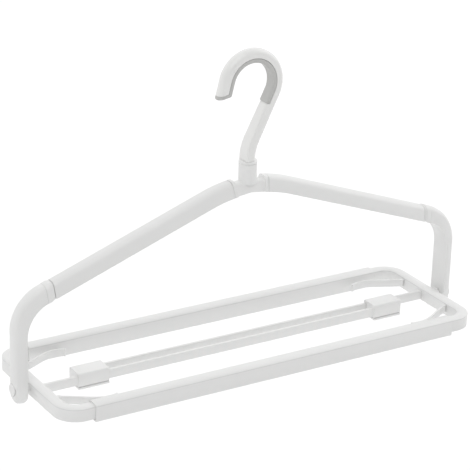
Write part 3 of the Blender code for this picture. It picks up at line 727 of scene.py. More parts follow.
def turned_steel(name, light):
    """Bright steel with fine turning marks and a little staining."""
    finish = Finish(name)
    marks = finish.noise(5200.0, 2.0, 0.6, (1, 0.15, 0.15))
    stains = finish.noise(260.0, 4.0, 0.6)
    dark = tuple(0.72 * part for part in light)
    finish.shade(
        Base_Color=finish.blend(stains * 0.8, light, dark),
        Metallic=1.0,
        Roughness=0.24 + (marks - 0.5) * 0.16 + stains * 0.12,
        Normal=finish.bump(marks, 0.3, 0.00003),
    )
    return finish.material


def finish_of(kind):
    """The material of one kind, made when it is first asked for."""
    made = bpy.data.materials.get(kind)
    if made:
        return made
    choices = bpy.context.scene.hanger_finish
    if kind == "liner_rubber":
        return soft_rubber(kind, tuple(choices.rubber), tuple(choices.rubber_shade))
    if kind == "turned_steel":
        return turned_steel(kind, tuple(choices.steel))
    rack = bpy.context.scene.hanger_rack
    # Painted shade lines: darker colour along the arris of the rails' and end frames' crowned tops, and in
    # the groove above the sliders' lip, where shade falls
    rail_painted_shade = (rail_high.z - rack.rail_crown, 0.0006, 0.42)
    rack_painted_shade = (rack.pivot + rack.channel_top - rack.frame_crown, 0.0006, 0.38)
    slider_painted_shade = (slider_low.z + rack.slider_lip, 0.0010, 0.9)
    light, gloss = tuple(choices.plastic), choices.gloss
    bright = tuple(choices.hook)
    # Each kind's colour, roughness, stretch of the flow marks, their strength, and painted shade line
    kinds = {
        "hook_plastic": (bright, choices.hook_gloss, (0.3, 1, 0.3), 0.10, None),
        "hub_plastic": (bright, gloss, (1, 1, 0.3), 0.20, None),
        "sleeve_plastic": (light, gloss, (0.06, 1, 0.6), 0.30, None),
        "arm_plastic": (light, gloss, (0.3, 1, 0.12), 0.25, None),
        "rail_plastic": (light, gloss, (0.04, 1, 1), 0.30, rail_painted_shade),
        "rack_plastic": (light, gloss, (0.25, 0.25, 1), 0.25, rack_painted_shade),
        "slider_plastic": (light, gloss, (0.4, 1, 1), 0.22, slider_painted_shade),
        "finger_plastic": (light, gloss, (0.1, 0.3, 1), 0.22, None),
    }
    tint, roughness, along, flow, painted_shade_line = kinds[kind]
    return moulded_plastic(kind, tint, tuple(choices.plastic_shade), roughness, along, flow, painted_shade_line)


def dress(piece, kind, body, slot, *nodes):
    """Give a finished piece its material, its body and the frame's nodes that it stands for."""
    piece.data.materials.clear()
    piece.data.materials.append(finish_of(kind))
    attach(piece, body)
    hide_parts(*nodes)


def dress_both(right, left, kind, body, node):
    """Finish a right piece and its left twin, whose body and node are named after the right one's."""
    dress(right, kind, body, "white_plastic", node)
    dress(left, kind, body.replace("right", "left"), "white_plastic", node.replace("right", "left"))


def hook_places(sizes, neck_steps=14, over_steps=60):
    """Places of (x, z, slope) on the band's line: up the neck from its foot, and then over to the tip."""
    lean, bend = sizes.neck_lean, sizes.neck_bend
    foot = bush_high.z + sizes.foot_height
    neck = [(0, bush_high.z + sizes.foot_gap, math.pi / 2)]
    for step in range(neck_steps + 1):
        risen = lean * step / neck_steps
        neck.append((bend * (1 - math.cos(risen)), foot + bend * math.sin(risen), math.pi / 2 + risen))
    line = sizes.inner_radius + sizes.liner_proud + sizes.band / 2
    over = []
    for step in range(over_steps + 1):
        bearing = -lean + (math.pi - sizes.tip_flare + lean) * step / over_steps
        over.append((
            line * math.cos(bearing), line * math.sin(bearing) - sizes.inner_radius, math.pi / 2 - bearing,
        ))
    return neck, over


def onward(place, distance):
    """A place further along the band, towards its foot."""
    x, z, slope = place
    return x + distance * math.cos(slope), z - distance * math.sin(slope), slope


def slanted(place, slant):
    """The station of an end that is cut back on its inner side."""
    x, z, slope = place
    return x, z, slope - slant, 1, 1 / math.cos(slant)


def band_end(name, depth, floor, roof, back_round, inner_round):
    """The end of a band, upright at the origin with its inner side below."""
    thing = upright(name, depth, floor, roof)
    if back_round:
        pick("VERT", lambda vert: vert.co.z > (roof + floor) / 2)
        round_off("VERTICES", back_round, 10)
    pick("VERT", lambda vert: vert.co.z < floor + inner_round / 9)
    round_off("VERTICES", inner_round, 6)
    bpy.ops.mesh.select_all(action="SELECT")
    return thing


class HANGER_OT_hook(bpy.types.Operator):
    """Model the hook's band, from its foot on the bush to its tip"""
    bl_idname = "hanger.hook"
    bl_label = "Hook"

    def execute(self, context):
        sizes = context.scene.hanger_hook
        neck, over = hook_places(sizes)
        half = sizes.band / 2
        hook = band_end("hook_band", sizes.depth, -half, half, sizes.back_round, sizes.inner_round)
        bare = onward(over[0], sizes.liner_run + sizes.liner_seam)
        widening = sizes.foot_depth / sizes.depth - 1
        places = []
        for x, z, slope in neck + [bare]:
            risen = max(z - neck[1][1], 0) / (bare[1] - neck[1][1])
            places.append((x, z, slope, 1 + widening * (1 - risen), 1))
        step = onward(bare, -sizes.liner_seam)
        places.append((*step, 1, 1))
        set_end(places[0])
        draw(places)
        self.let_in(sizes, step)
        pad_end = onward(over[-1], sizes.pad - sizes.tip_length)
        places = [(*place, 1, 1) for place in [step] + over]
        places.append(slanted(onward(pad_end, sizes.liner_seam), sizes.tip_slant))
        draw(places)
        outwards(hook)
        smooth(hook)
        dress(hook, "hook_plastic", "hook", "hook_plastic", "hook")
        return {"FINISHED"}

    def let_in(self, sizes, place):
        """Step the open end's inner side back to the bed of the liner, and leave the end selected."""
        x, z, slope = place
        spot = Vector((x, 0, z))
        along, out = facing(slope)
        near = sizes.liner_seam / 9
        rim = sizes.inner_round - sizes.band / 2 + near
        squash = 0.15

        def at_end(item):
            return abs((middle(item) - spot).dot(along)) < near

        pick("VERT", lambda vert: at_end(vert) and (vert.co - spot).dot(out) < rim)
        stretch((1, 1, squash), spot - out * sizes.band / 2, (along, (0, 1, 0), out))
        shift(out * (sizes.liner_edge - sizes.liner_proud + sizes.liner_seam))
        pick("FACE", lambda face: at_end(face) and len(face.verts) > 6)


class HANGER_OT_liner(bpy.types.Operator):
    """Model the soft liner that is let into the inside of the hook and covers its tip"""
    bl_idname = "hanger.liner"
    bl_label = "Hook liner"

    def execute(self, context):
        sizes = context.scene.hanger_hook
        over = hook_places(sizes)[1]
        face = -sizes.band / 2 - sizes.liner_proud
        seat = face + sizes.liner_edge
        liner = band_end("hook_liner", sizes.depth, face, seat, 0, sizes.inner_round)
        pad_end = onward(over[-1], sizes.pad - sizes.tip_length)
        places = [(*place, 1, 1) for place in [onward(over[0], sizes.liner_run)] + over]
        places.append(slanted(pad_end, sizes.tip_slant))
        set_end(places[0])
        draw(places)
        along = facing(pad_end[2])[0]
        pull(along * -sizes.pad)
        out = facing(pad_end[2] - sizes.tip_slant)[1]
        self.fill_out(sizes, pad_end, seat, along, out)
        self.round_tip(sizes, pad_end, along, out)
        outwards(liner)
        soften(liner, sizes.liner_seam)
        smooth(liner, 32)
        dress(liner, "liner_rubber", "hook", "grey_rubber", "hook_grip_liner")
        return {"FINISHED"}

    def fill_out(self, sizes, pad_end, seat, along, out):
        """Pull the pad's back out to the band's back, and round it like the band."""
        heart = Vector((pad_end[0], 0, pad_end[1])) - along * sizes.pad / 2
        level = 1 / math.cos(sizes.tip_slant)
        lip = heart + out * seat * level
        pick("FACE", lambda face: (middle(face) - lip).length < slack)
        pull(out * (sizes.band / 2 - seat) * level)
        back = heart + out * sizes.band / 2 * level

        def at_back(edge):
            away = middle(edge) - back
            beside = abs(abs(middle(edge).y) - sizes.depth / 2) < slack / 2
            return beside and abs(away.dot(out)) < slack / 2 and away.length < sizes.depth

        pick("EDGE", at_back)
        round_off("EDGES", sizes.back_round, 10)

    def round_tip(self, sizes, pad_end, along, out):
        """Round the pad's lower edge."""
        square = out.cross(Vector((0, 1, 0))).normalized()
        tip = Vector((pad_end[0], 0, pad_end[1])) - along * sizes.pad

        def low(vert):
            return abs((vert.co - tip).dot(square)) < slack / 5

        pick("EDGE", lambda edge: low(edge.verts[0]) and low(edge.verts[1]))
        round_off("EDGES", sizes.pad_round, 5)


class HANGER_OT_swivel(bpy.types.Operator):
    """Model the swivel's bush and the hub that the sleeves meet on"""
    bl_idname = "hanger.swivel"
    bl_label = "Swivel and hub"

    def execute(self, context):
        self.bush(context.scene.hanger_swivel)
        self.hub(context.scene.hanger_swivel, context.scene.hanger_sleeve)
        return {"FINISHED"}

    def bush(self, sizes):
        """The round bush, with a groove and a fine line round it."""
        rim, top = sizes.bush_diameter / 2, bush_high.z
        groove, line = top - sizes.groove_drop, top - sizes.line_drop
        deep, fine = sizes.groove, sizes.groove / 3
        edge = sizes.rim_round
        bush = turned("swivel_collar", [
            (rim, hub_high.z), (rim, line - fine), (rim - fine, line), (rim, line + fine),
            (rim, groove - deep), (rim - deep, groove - deep / 2), (rim - deep, groove + deep / 4),
            (rim, groove + deep / 2), (rim, top - edge), (rim - edge / 3, top - edge / 3), (rim - edge, top),
        ])
        smooth(bush, 28)
        dress(bush, "hub_plastic", "hanger", "white_plastic", "swivel_bush")

    def hub(self, sizes, sleeve):
        """The cross tube with a bead beside each sleeve, the socket on it and the recess below."""
        inset = sleeve.wall + sizes.tube_gap
        half, tall = sleeve.foot_half - inset, sleeve.height - 2 * inset
        hub = arch_end("hub_body", half, sleeve.top_half - inset, tall, sleeve.rounding - inset)
        places = self.tube_places(sizes, sleeve, inset, half, tall)
        set_end(places[0])
        draw(places)
        pick("FACE", lambda face: len(face.verts) > 4 and abs(middle(face).x) < slack)
        bpy.ops.mesh.delete(type="FACE")
        set_down()
        mirror = hub.modifiers.new("mirror", "MIRROR")
        mirror.merge_threshold = slack / 10
        apply(hub, mirror)
        outwards(hub)
        radius = sizes.socket_diameter / 2
        socket = turned("socket", [(radius, sizes.base + sizes.recess_depth), (radius, hub_high.z)])
        cut(hub, socket, "UNION")
        recess = rod(
            "recess", (0, 0, sizes.base + sizes.recess_depth / 2 - overshoot), sizes.recess_diameter,
            sizes.recess_depth + 2 * overshoot,
        )
        cut(hub, recess)
        soften(hub, fine_edge, 40)
        smooth(hub)
        dress(hub, "hub_plastic", "hanger", "white_plastic", "hub")

    def tube_places(self, sizes, sleeve, inset, half, tall, steps=4):
        """Stations of the tube's right half: to the sleeve with its bead, then on inside the sleeve."""
        bead = ((sleeve.foot_half - sizes.bead_inset) / half, (sleeve.height - sizes.bead_inset) / tall)
        near = sleeve.start - sizes.bead_width - sizes.bead_gap
        far = sleeve.start - sizes.bead_gap
        foot, drop = sizes.base - inset, math.tan(sizes.slope)
        places = [(0, foot, 0, 1, 1)]
        for x, shares in ((near, (1, 1)), (near, bead), (far, bead), (far, (1, 1))):
            places.append((x, foot - x * drop, sizes.slope, *shares))
        for step in range(1, steps + 1):
            lean = sleeve.start_slope + sizes.tube_turn * step / steps
            x, z = shoulder_place(sleeve, lean)
            places.append((x, z + inset, lean, 1, 1))
        return places


def shoulder_place(sleeve, lean):
    """The place (x, z) on the foot line of the right sleeve's bend where it slopes by a lean."""
    swivel = bpy.context.scene.hanger_swivel
    foot = swivel.base - sleeve.wall - swivel.sleeve_drop - sleeve.start * math.tan(swivel.slope)
    x = sleeve.start + sleeve.bend * (math.sin(lean) - math.sin(sleeve.start_slope))
    return x, foot - sleeve.bend * (math.cos(sleeve.start_slope) - math.cos(lean))


def beyond_mouth(distance):
    """The place (x, z) on the right foot line at a distance beyond the sleeve's mouth."""
    sleeve, arm = bpy.context.scene.hanger_sleeve, bpy.context.scene.hanger_arm
    along, down = math.cos(sleeve.slope), math.sin(sleeve.slope)
    bend_x, bend_z = shoulder_place(sleeve, sleeve.slope)
    mouth_x = arm.inner - arm.bend * (1 - down) - arm.start * along
    mouth_z = bend_z - (mouth_x - bend_x) * math.tan(sleeve.slope)
    return mouth_x + distance * along, mouth_z - distance * down


class HANGER_OT_sleeves(bpy.types.Operator):
    """Model the two hollow shoulder sleeves"""
    bl_idname = "hanger.sleeves"
    bl_label = "Shoulder sleeves"

    def execute(self, context):
        sizes = context.scene.hanger_sleeve
        sleeve = arch_end("right_shoulder", sizes.foot_half, sizes.top_half, sizes.height, sizes.rounding)
        steps = 14
        places = []
        for step in range(steps + 1):
            lean = sizes.start_slope + (sizes.slope - sizes.start_slope) * step / steps
            places.append((*shoulder_place(sizes, lean), lean, 1, 1))
        places.append((*beyond_mouth(0), sizes.mouth_slope, 1, sizes.slant))
        set_end(places[0])
        draw(places)
        open_ends(sleeve)
        thicken(sleeve, sizes.wall)
        soften(sleeve, sizes.rim_round)
        smooth(sleeve)
        other = twin(sleeve, "left_shoulder")
        dress_both(sleeve, other, "sleeve_plastic", "hanger", "right_shoulder_sleeve")
        return {"FINISHED"}


class HANGER_OT_arms(bpy.types.Operator):
    """Model the side arms with their slides and collars"""
    bl_idname = "hanger.arms"
    bl_label = "Side arms"

    def execute(self, context):
        sleeve, sizes = context.scene.hanger_sleeve, context.scene.hanger_arm
        bend_z = beyond_mouth(sizes.start)[1] - sizes.bend * math.cos(sleeve.slope)
        self.arm(sleeve, sizes, bend_z)
        self.collar(sleeve, sizes)
        self.caps(sizes, bend_z - sizes.leg_length)
        return {"FINISHED"}

    def arm(self, sleeve, sizes, bend_z, steps=18):
        """The bent arm and its leg, with the cap's seat and the slide."""
        rounding = sleeve.rounding * sizes.height / sleeve.height
        arm = arch_end("right_arm", sleeve.foot_half, sleeve.top_half, sizes.height, rounding)
        side_gain = sizes.leg_half / sleeve.foot_half - 1
        up_gain = sizes.leg_depth / sizes.height - 1
        bend_x = sizes.inner - sizes.bend
        places = [(*beyond_mouth(sizes.start), sleeve.mouth_slope, 1, sleeve.slant)]
        for step in range(1, steps + 1):
            lean = sleeve.slope + (math.pi / 2 - sleeve.slope) * step / steps
            late = (step / steps) ** sizes.taper
            places.append((
                bend_x + sizes.bend * math.sin(lean), bend_z + sizes.bend * math.cos(lean), lean,
                1 + side_gain * late, 1 + up_gain * late,
            ))
        set_end(places[0])
        draw(places)
        self.round_end(sizes, bend_z)
        outwards(arm)
        soften(arm, fine_edge, 38)
        seat = rod(
            "seat", (sizes.inner + sizes.leg_depth, 0, bend_z - sizes.leg_length),
            sizes.cap_diameter + 2 * sizes.cap_gap, 2 * (sizes.cap_height + sizes.seat_extra), 64, "X",
        )
        cut(arm, seat)
        self.join(arm, self.slide(sleeve, sizes))
        smooth(arm)
        other = twin(arm, "left_arm_body")
        dress_both(arm, other, "arm_plastic", "right_arm", "right_side_arm")

    def round_end(self, sizes, bend_z, dome_turn=math.radians(75), steps=9):
        """Run the leg down past the pivot and close it in a dome."""
        dome_start = bend_z - sizes.leg_length - sizes.end_drop + sizes.leg_half
        middle_x = sizes.inner + sizes.leg_depth / 2
        last, narrow = bend_z, 1.0
        for step in range(steps + 1):
            lean = dome_turn * step / steps
            z = dome_start - sizes.leg_half * math.sin(lean)
            pull((0, 0, z - last))
            factor = math.cos(lean) / narrow
            stretch((factor, factor, 1), (middle_x, 0, z))
            last, narrow = z, math.cos(lean)

    def slide(self, sleeve, sizes):
        """The slimmer part of the arm that runs in its sleeve."""
        gap = sizes.clearance
        slide = arch_end(
            "slide", sleeve.foot_half - gap * sizes.slide_flare, sleeve.top_half - gap,
            sleeve.height - 2 * gap, sleeve.rounding - gap,
        )
        bend_x = shoulder_place(sleeve, sleeve.slope)[0]
        straight = (beyond_mouth(0)[0] - bend_x) / math.cos(sleeve.slope)
        first = beyond_mouth(sizes.free_end - straight)
        last = beyond_mouth(sizes.start + sizes.slide_root)
        lift = facing(sleeve.slope)[1] * gap
        set_end((first[0] + lift.x, first[1] + lift.z, sleeve.slope, 1, 1))
        pull((last[0] - first[0], 0, last[1] - first[1]))
        outwards(slide)
        soften(slide, fine_edge, 38)
        return slide

    def join(self, arm, slide):
        """Join the slide to its arm as one moulding."""
        hold(arm)
        slide.select_set(True)
        bpy.ops.object.join()

    def collar(self, sleeve, sizes):
        """The collar, with a slightly smaller nose towards the sleeve."""
        step = sizes.collar_step
        rounding = sleeve.rounding * sizes.height / sleeve.height
        collar = arch_end(
            "right_collar", sleeve.foot_half + step * sizes.collar_flare, sleeve.top_half + step,
            sizes.height + 2 * step, rounding,
        )
        along, up = facing(sleeve.mouth_slope)
        axes = along, (0, 1, 0), up
        tall = (sizes.height + 2 * step) * sleeve.slant
        reaches = (sizes.nose_start, sizes.collar_gap, sizes.collar_gap + sizes.collar_width)
        nose, first, last = [Vector((x, 0, z)) for x, z in map(beyond_mouth, reaches)]
        foot = nose - up * step
        set_end((foot.x, foot.z, sleeve.mouth_slope, 1, sleeve.slant))
        heart = foot + up * tall / 2
        side_share = 1 - sizes.nose_inset / sleeve.foot_half
        up_share = 1 - 2 * sizes.nose_inset / tall
        stretch((1, side_share, up_share), heart, axes)
        pull(first - nose)
        pull((0, 0, 0))
        stretch((1, 1 / side_share, 1 / up_share), heart + first - nose, axes)
        pull(last - first)
        outwards(collar)
        soften(collar, fine_edge, 38)
        smooth(collar)
        other = twin(collar, "left_collar")
        dress_both(collar, other, "arm_plastic", "right_arm", "right_arm_collar")

    def caps(self, sizes, pivot):
        """The pressed-in caps over the pivots: a shallow dish with a rounded rim."""
        radius, tall = sizes.cap_diameter / 2, sizes.cap_height
        # Shares of the radius and of the height, from the rim to the dish's middle
        shares = ((1, 0), (1, 0.71), (0.977, 0.87), (0.938, 1), (0.828, 0.91), (0.75, 0.84), (0.03, 0.80))
        cap = turned("right_cap", [(radius * across, tall * high) for across, high in shares])
        take_up(cap)
        turn(math.pi / 2, "Y", (0, 0, 0))
        shift((cap_high.x - tall, 0, pivot))
        set_down()
        smooth(cap)
        other = twin(cap, "left_cap")
        dress_both(cap, other, "arm_plastic", "right_arm", "right_pivot_cap")


class HANGER_OT_rails(bpy.types.Operator):
    """Model the two long rails as hollow tubes"""
    bl_idname = "hanger.rails"
    bl_label = "Rails"

    def execute(self, context):
        sizes = context.scene.hanger_rack
        foot = sizes.pivot - rail_low.z
        rail = crowned_end("front_rail", sizes.rail_width / 2, foot, sizes.rail_top, sizes.rail_crown)
        pick("VERT", lambda vert: vert.co.z < slack - foot)
        round_off("VERTICES", sizes.rail_edge, 3)
        bpy.ops.mesh.select_all(action="SELECT")
        shift((rail_low.x, -sizes.side_line, sizes.pivot))
        pull((rail_high.x - rail_low.x, 0, 0))
        open_ends(rail)
        thicken(rail, sizes.rail_wall + sizes.play / 2)
        soften(rail, fine_edge / 2)
        smooth(rail)
        other = twin(rail, "rear_rail", (1, -1, 1))
        dress(rail, "rail_plastic", "rails", "white_plastic", "front_rail_sleeve")
        dress(other, "rail_plastic", "rails", "white_plastic", "rear_rail_sleeve")
        return {"FINISHED"}


class HANGER_OT_end_frames(bpy.types.Operator):
    """Model the two end frames: channels that turn round the ends of the rack"""
    bl_idname = "hanger.end_frames"
    bl_label = "End frames"

    def execute(self, context):
        sizes = context.scene.hanger_rack
        channel = self.channel(sizes)
        boss_start = sizes.end_line + sizes.channel_half - sizes.frame_wall / 2
        boss_end = context.scene.hanger_arm.inner - sizes.play
        boss = rod(
            "boss", ((boss_start + boss_end) / 2, 0, sizes.pivot), sizes.boss_diameter, boss_end - boss_start,
            48, "X",
        )
        other = twin(channel, "left_end")
        spare = twin(boss, "other_boss")
        for frame_piece, knob, sign in ((channel, boss, 1), (other, spare, -1)):
            cut(frame_piece, knob, "UNION")
            self.pierce(frame_piece, sizes, sign, boss_end)
            soften(frame_piece, fine_edge)
            smooth(frame_piece)
        dress_both(channel, other, "rack_plastic", "right_end", "right_end_frame")
        return {"FINISHED"}

    def channel(self, sizes, corner_steps=20):
        """The right channel, open below and at its hidden ends."""
        pivot, stub_end = sizes.pivot, sizes.stub_end
        channel = crowned_end(
            "right_end", sizes.channel_half, sizes.frame_foot, sizes.channel_top, sizes.frame_crown,
        )
        shift((stub_end, -sizes.side_line, pivot))
        corner_x, corner_y = sizes.end_line - sizes.frame_bend, sizes.side_line - sizes.frame_bend
        pull((corner_x - stub_end, 0, 0))
        swing(math.pi / 2, (0, 0, 1), (corner_x, -corner_y, pivot), corner_steps)
        pull((0, 2 * corner_y, 0))
        swing(math.pi / 2, (0, 0, 1), (corner_x, corner_y, pivot), corner_steps)
        pull((stub_end - corner_x, 0, 0))
        outwards(channel)
        take_up(channel)
        foot = pivot - sizes.frame_foot
        pick("FACE", lambda face: middle(face).z < foot + slack or middle(face).x < stub_end + slack)
        bpy.ops.mesh.delete(type="FACE")
        set_down()
        thicken(channel, sizes.frame_wall)
        return channel

    def pierce(self, frame_piece, sizes, sign, boss_end):
        """Cut the pivot's hole through the boss, and the notch that holds the bar."""
        start = sizes.end_line + sizes.channel_half - 2 * sizes.frame_wall
        end = boss_end + overshoot
        hole = rod("hole", (sign * (start + end) / 2, 0, sizes.pivot), sizes.pin_hole, end - start, 32, "X")
        cut(frame_piece, hole)
        y = sign * sizes.bar_spread
        wide = sizes.bar_thickness / 2 + sizes.notch_gap
        inner = sizes.end_line - sizes.channel_half
        low_x, high_x = sorted((sign * (inner - overshoot), sign * (inner + sizes.frame_wall + overshoot)))
        notch = block(
            "notch", (low_x, y - wide, sizes.pivot - sizes.frame_foot - overshoot),
            (high_x, y + wide, sizes.pivot + sizes.bar_top + sizes.notch_gap),
        )
        cut(frame_piece, notch)


class HANGER_OT_bars(bpy.types.Operator):
    """Model the centre bars and the sliders on them"""
    bl_idname = "hanger.bars"
    bl_label = "Centre bars and sliders"

    def execute(self, context):
        sizes = context.scene.hanger_rack
        for side, other, sign in (("right", "left", 1), ("left", "right", -1)):
            bar = block(side + "_bar", *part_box(side + "_centre_bar"))
            soften(bar, sizes.edge, 40, 3)
            smooth(bar)
            dress(bar, "slider_plastic", side + "_end", "white_plastic", side + "_centre_bar")
            slider = self.slider(other, -sign, sizes)
            dress(slider, "slider_plastic", side + "_end", "white_plastic", other + "_slider")
        return {"FINISHED"}

    def slider(self, side, sign, sizes):
        """A block on a wider lip, with a fine groove between them, with a slot cut for one bar."""
        low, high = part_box(side + "_slider")
        centre = (low.x + high.x) / 2
        half, lip = sizes.slider_half, (high.y - low.y) / 2
        base, deep = low.z + sizes.slider_lip, sizes.slider_groove
        flank = 0.8 * deep
        set_down()
        bpy.ops.mesh.primitive_plane_add(size=1, location=(centre, 0, low.z))
        slider = started(side + "_runner")
        stretch((high.x - low.x, 2 * lip, 1), (centre, 0, low.z))
        last, height = lip, low.z
        for wide, z in ((lip, base - flank), (half - deep, base), (half, base + flank), (half, high.z)):
            pull((0, 0, z - height))
            stretch((1, wide / last, 1), (centre, 0, z))
            last, height = wide, z
        pick("EDGE", lambda edge: middle(edge).z > high.z - slack and abs(middle(edge).y) > half / 2)
        round_off("EDGES", sizes.slider_round, 6)
        outwards(slider)
        soften(slider, sizes.edge)
        top = sizes.pivot + sizes.bar_top
        ahead = sizes.bar_spread * sign
        wide = sizes.bar_thickness / 2 + sizes.play
        slot = block(
            "slot", (low.x - overshoot, ahead - wide, top - sizes.bar_height - sizes.play),
            (high.x + overshoot, ahead + wide, top + sizes.play),
        )
        cut(slider, slot)
        smooth(slider)
        return slider


class HANGER_OT_fingers(bpy.types.Operator):
    """Model the four springy fingers"""
    bl_idname = "hanger.fingers"
    bl_label = "Fingers"

    def execute(self, context):
        sizes = context.scene.hanger_finger
        rack = context.scene.hanger_rack
        root_x = rack.end_line - rack.channel_half - sizes.root_gap - sizes.knuckle / 2
        finger = self.strip(sizes, root_x)
        take_up(finger)
        shift((0, 0, rack.pivot))
        knuckle = rod(
            "knuckle", (root_x, sizes.root, rack.pivot + sizes.top - sizes.height / 2), sizes.knuckle,
            sizes.height, 32,
        )
        cut(finger, knuckle, "UNION")
        soften(finger, sizes.edge, 50, 3)
        smooth(finger, 35)
        for side, sign in (("right", 1), ("left", -1)):
            for place, depth in (("rear", 1), ("front", -1)):
                name = place + "_" + side
                piece = finger
                if sign != 1 or depth != 1:
                    piece = twin(finger, name + "_spring", (sign, depth, 1))
                dress(piece, "finger_plastic", name + "_finger", "white_plastic", name + "_finger")
        return {"FINISHED"}

    def strip(self, sizes, root_x):
        """The rear right strip: pulled along a curve from its root to its tip."""
        # Shares of the reach and of the spread along the finger
        knots = ((0, 0), (0.24, 0.36), (0.52, 0.81), (0.73, 1.0), (0.88, 0.99), (0.965, 0.94), (1.0, 0.86))
        curve = self.eased([
            Vector((root_x - reach * sizes.reach, sizes.root + spread * sizes.spread, 0))
            for reach, spread in knots
        ])
        strip = upright("rear_right_spring", sizes.thickness, sizes.top - sizes.height, sizes.top)
        bearing = self.bearing(curve[1] - curve[0])
        turn(bearing, "Z", (0, 0, 0))
        shift(curve[0])
        for index in range(1, len(curve)):
            step = curve[index] - curve[index - 1]
            ahead = curve[min(index + 1, len(curve) - 1)] - curve[index - 1]
            pull((step.x, step.y, sizes.droop * step.x / sizes.reach))
            turn(self.bearing(ahead) - bearing, "Z", curve[index])
            bearing = self.bearing(ahead)
        outwards(strip)
        return strip

    def bearing(self, way):
        """How far a way along the strip is turned from straight inwards."""
        return math.atan2(-way.y, -way.x)

    def eased(self, points, parts=3):
        """A smooth curve through points, with each stretch between two of them in parts."""
        curve = []
        for index in range(len(points) - 1):
            before = points[max(index - 1, 0)]
            start, end = points[index], points[index + 1]
            after = points[min(index + 2, len(points) - 1)]
            for step in range(parts):
                t = step / parts
                curve.append(0.5 * (
                    2 * start + (end - before) * t + (2 * before - 5 * start + 4 * end - after) * t * t
                    + (3 * start - before - 3 * end + after) * t ** 3
                ))
        curve.append(points[-1])
        return curve


class HANGER_OT_fittings(bpy.types.Operator):
    """Give the pins, washers and screw their steel finish"""
    bl_idname = "hanger.fittings"
    bl_label = "Steel fittings"

    def execute(self, context):
        steel = finish_of("turned_steel")
        for name in (
            "left_pivot_pin", "right_pivot_pin", "left_pivot_washer", "right_pivot_washer", "hook_washer",
            "hook_screw",
        ):
            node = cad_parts[name]
            node.data.materials.clear()
            node.data.materials.append(steel)
        return {"FINISHED"}


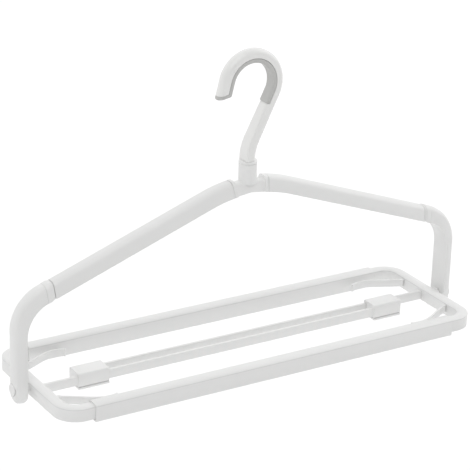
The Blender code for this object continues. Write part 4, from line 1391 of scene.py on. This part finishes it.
class HANGER_OT_stage(bpy.types.Operator):
    """Set up the floor, the light and the camera"""
    bl_idname = "hanger.stage"
    bl_label = "Stage"

    def execute(self, context):
        choices = context.scene.hanger_stage
        self.floor(choices)
        self.light(choices)
        self.camera(choices)
        context.scene.view_settings.view_transform = "Standard"
        return {"FINISHED"}

    def floor(self, choices):
        """A plain pale floor well below the hanger."""
        set_down()
        floor_size = 30
        bpy.ops.mesh.primitive_plane_add(size=floor_size, location=(0, 0, rail_low.z - choices.floor_drop))
        floor = bpy.context.object
        floor.name = "floor"
        paper = Finish("floor_paper")
        seen = paper.node("ShaderNodeLightPath", {}, {}, "Is Camera Ray")
        for ray in ("Is Glossy Ray", "Is Transmission Ray"):
            seen = seen.sum("MAXIMUM", seen, paper.node("ShaderNodeLightPath", {}, {}, ray))
        paper.shade(
            Base_Color=tuple(choices.floor), Roughness=0.9, Specular_IOR_Level=0.0,
            Emission_Color=seen, Emission_Strength=choices.floor_glow,
        )
        floor.data.materials.append(paper.material)

    def light(self, choices):
        """Surrounding light, and broad lights from the upper left and from the right."""
        world = bpy.context.scene.world or bpy.data.worlds.new("studio")
        bpy.context.scene.world = world
        world.use_nodes = True
        self.surround(world.node_tree, choices)
        # Each light's name, strength and way of falling
        for name, strength, aim in (
            ("key_light", choices.key_light, (0.287, 0.497, -0.819)),
            ("side_light", choices.side_light, (-0.863, 0.076, -0.500)),
        ):
            lamp = bpy.data.lights.new(name, "SUN")
            lamp.energy = strength
            lamp.angle = choices.lamp_spread
            holder = bpy.data.objects.new(name, lamp)
            bpy.context.scene.collection.objects.link(holder)
            holder.rotation_euler = Vector(aim).to_track_quat("-Z", "Y").to_euler()

    def surround(self, tree, choices):
        """White light that grows from the front towards the back."""
        sky = Nodes(tree)
        way = sky.node("ShaderNodeTexCoord", {}, {}, "Generated")
        backwards = sky.node("ShaderNodeSeparateXYZ", {}, {0: way}, "Y")
        strength = sky.node("ShaderNodeMapRange", {"interpolation_type": "SMOOTHSTEP"}, {
            "Value": backwards, "From Min": -choices.fade, "From Max": choices.fade,
            "To Min": choices.front_world, "To Max": choices.rear_world,
        }, "Result")
        background = tree.nodes["Background"]
        sky.fill(background.inputs["Color"], (1, 1, 1))
        sky.fill(background.inputs["Strength"], strength)

    def camera(self, choices):
        """The camera at the photograph's place."""
        azimuth, elevation, roll = choices.azimuth, choices.elevation, choices.roll
        back = Vector((
            -math.sin(azimuth) * math.cos(elevation), -math.cos(azimuth) * math.cos(elevation),
            math.sin(elevation),
        ))
        right = Vector((math.cos(azimuth), -math.sin(azimuth), 0))
        up = back.cross(right)
        across = right * math.cos(roll) + up * math.sin(roll)
        above = up * math.cos(roll) - right * math.sin(roll)
        target = Vector((
            choices.aside * math.cos(azimuth), -choices.aside * math.sin(azimuth),
            choices.above + bpy.context.scene.hanger_rack.pivot,
        ))
        place = target + back * choices.distance
        lens = bpy.data.cameras.new("camera")
        lens.lens = choices.lens
        lens.sensor_width = 36
        lens.sensor_fit = "AUTO"
        camera = bpy.data.objects.new("camera", lens)
        bpy.context.scene.collection.objects.link(camera)
        camera.matrix_world = Matrix((
            (across.x, above.x, back.x, place.x), (across.y, above.y, back.y, place.y),
            (across.z, above.z, back.z, place.z), (0, 0, 0, 1),
        ))
        bpy.context.scene.camera = camera


class HANGER_PT_panel(bpy.types.Panel):
    """Buttons for each group of pieces"""
    bl_label = "Towel hanger"
    bl_idname = "HANGER_PT_panel"
    bl_space_type = "VIEW_3D"
    bl_region_type = "UI"
    bl_category = "Towel hanger"

    def draw(self, context):
        for operator in operators:
            self.layout.operator(operator.bl_idname)


groups = {
    "hanger_hook": HookSizes,
    "hanger_swivel": SwivelSizes,
    "hanger_sleeve": SleeveSizes,
    "hanger_arm": ArmSizes,
    "hanger_rack": RackSizes,
    "hanger_finger": FingerSizes,
    "hanger_finish": FinishChoices,
    "hanger_stage": StageChoices,
}
operators = (
    HANGER_OT_hook, HANGER_OT_liner, HANGER_OT_swivel, HANGER_OT_sleeves, HANGER_OT_arms, HANGER_OT_rails,
    HANGER_OT_end_frames, HANGER_OT_bars, HANGER_OT_fingers, HANGER_OT_fittings, HANGER_OT_stage,
)


def register():
    """Register the groups, the operators and the panel."""
    for name, group in groups.items():
        bpy.utils.register_class(group)
        setattr(bpy.types.Scene, name, bpy.props.PointerProperty(type=group))
    for operator in operators:
        bpy.utils.register_class(operator)
    bpy.utils.register_class(HANGER_PT_panel)


def unregister():
    """Take the panel, the operators and the groups out again."""
    bpy.utils.unregister_class(HANGER_PT_panel)
    for operator in reversed(operators):
        bpy.utils.unregister_class(operator)
    for name, group in groups.items():
        delattr(bpy.types.Scene, name)
        bpy.utils.unregister_class(group)


def main():
    """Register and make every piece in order."""
    register()
    bpy.ops.hanger.hook()
    bpy.ops.hanger.liner()
    bpy.ops.hanger.swivel()
    bpy.ops.hanger.sleeves()
    bpy.ops.hanger.arms()
    bpy.ops.hanger.rails()
    bpy.ops.hanger.end_frames()
    bpy.ops.hanger.bars()
    bpy.ops.hanger.fingers()
    bpy.ops.hanger.fittings()
    bpy.ops.hanger.stage()
    set_down()
    bpy.context.view_layer.update()


if __name__ == "__main__":
    main()
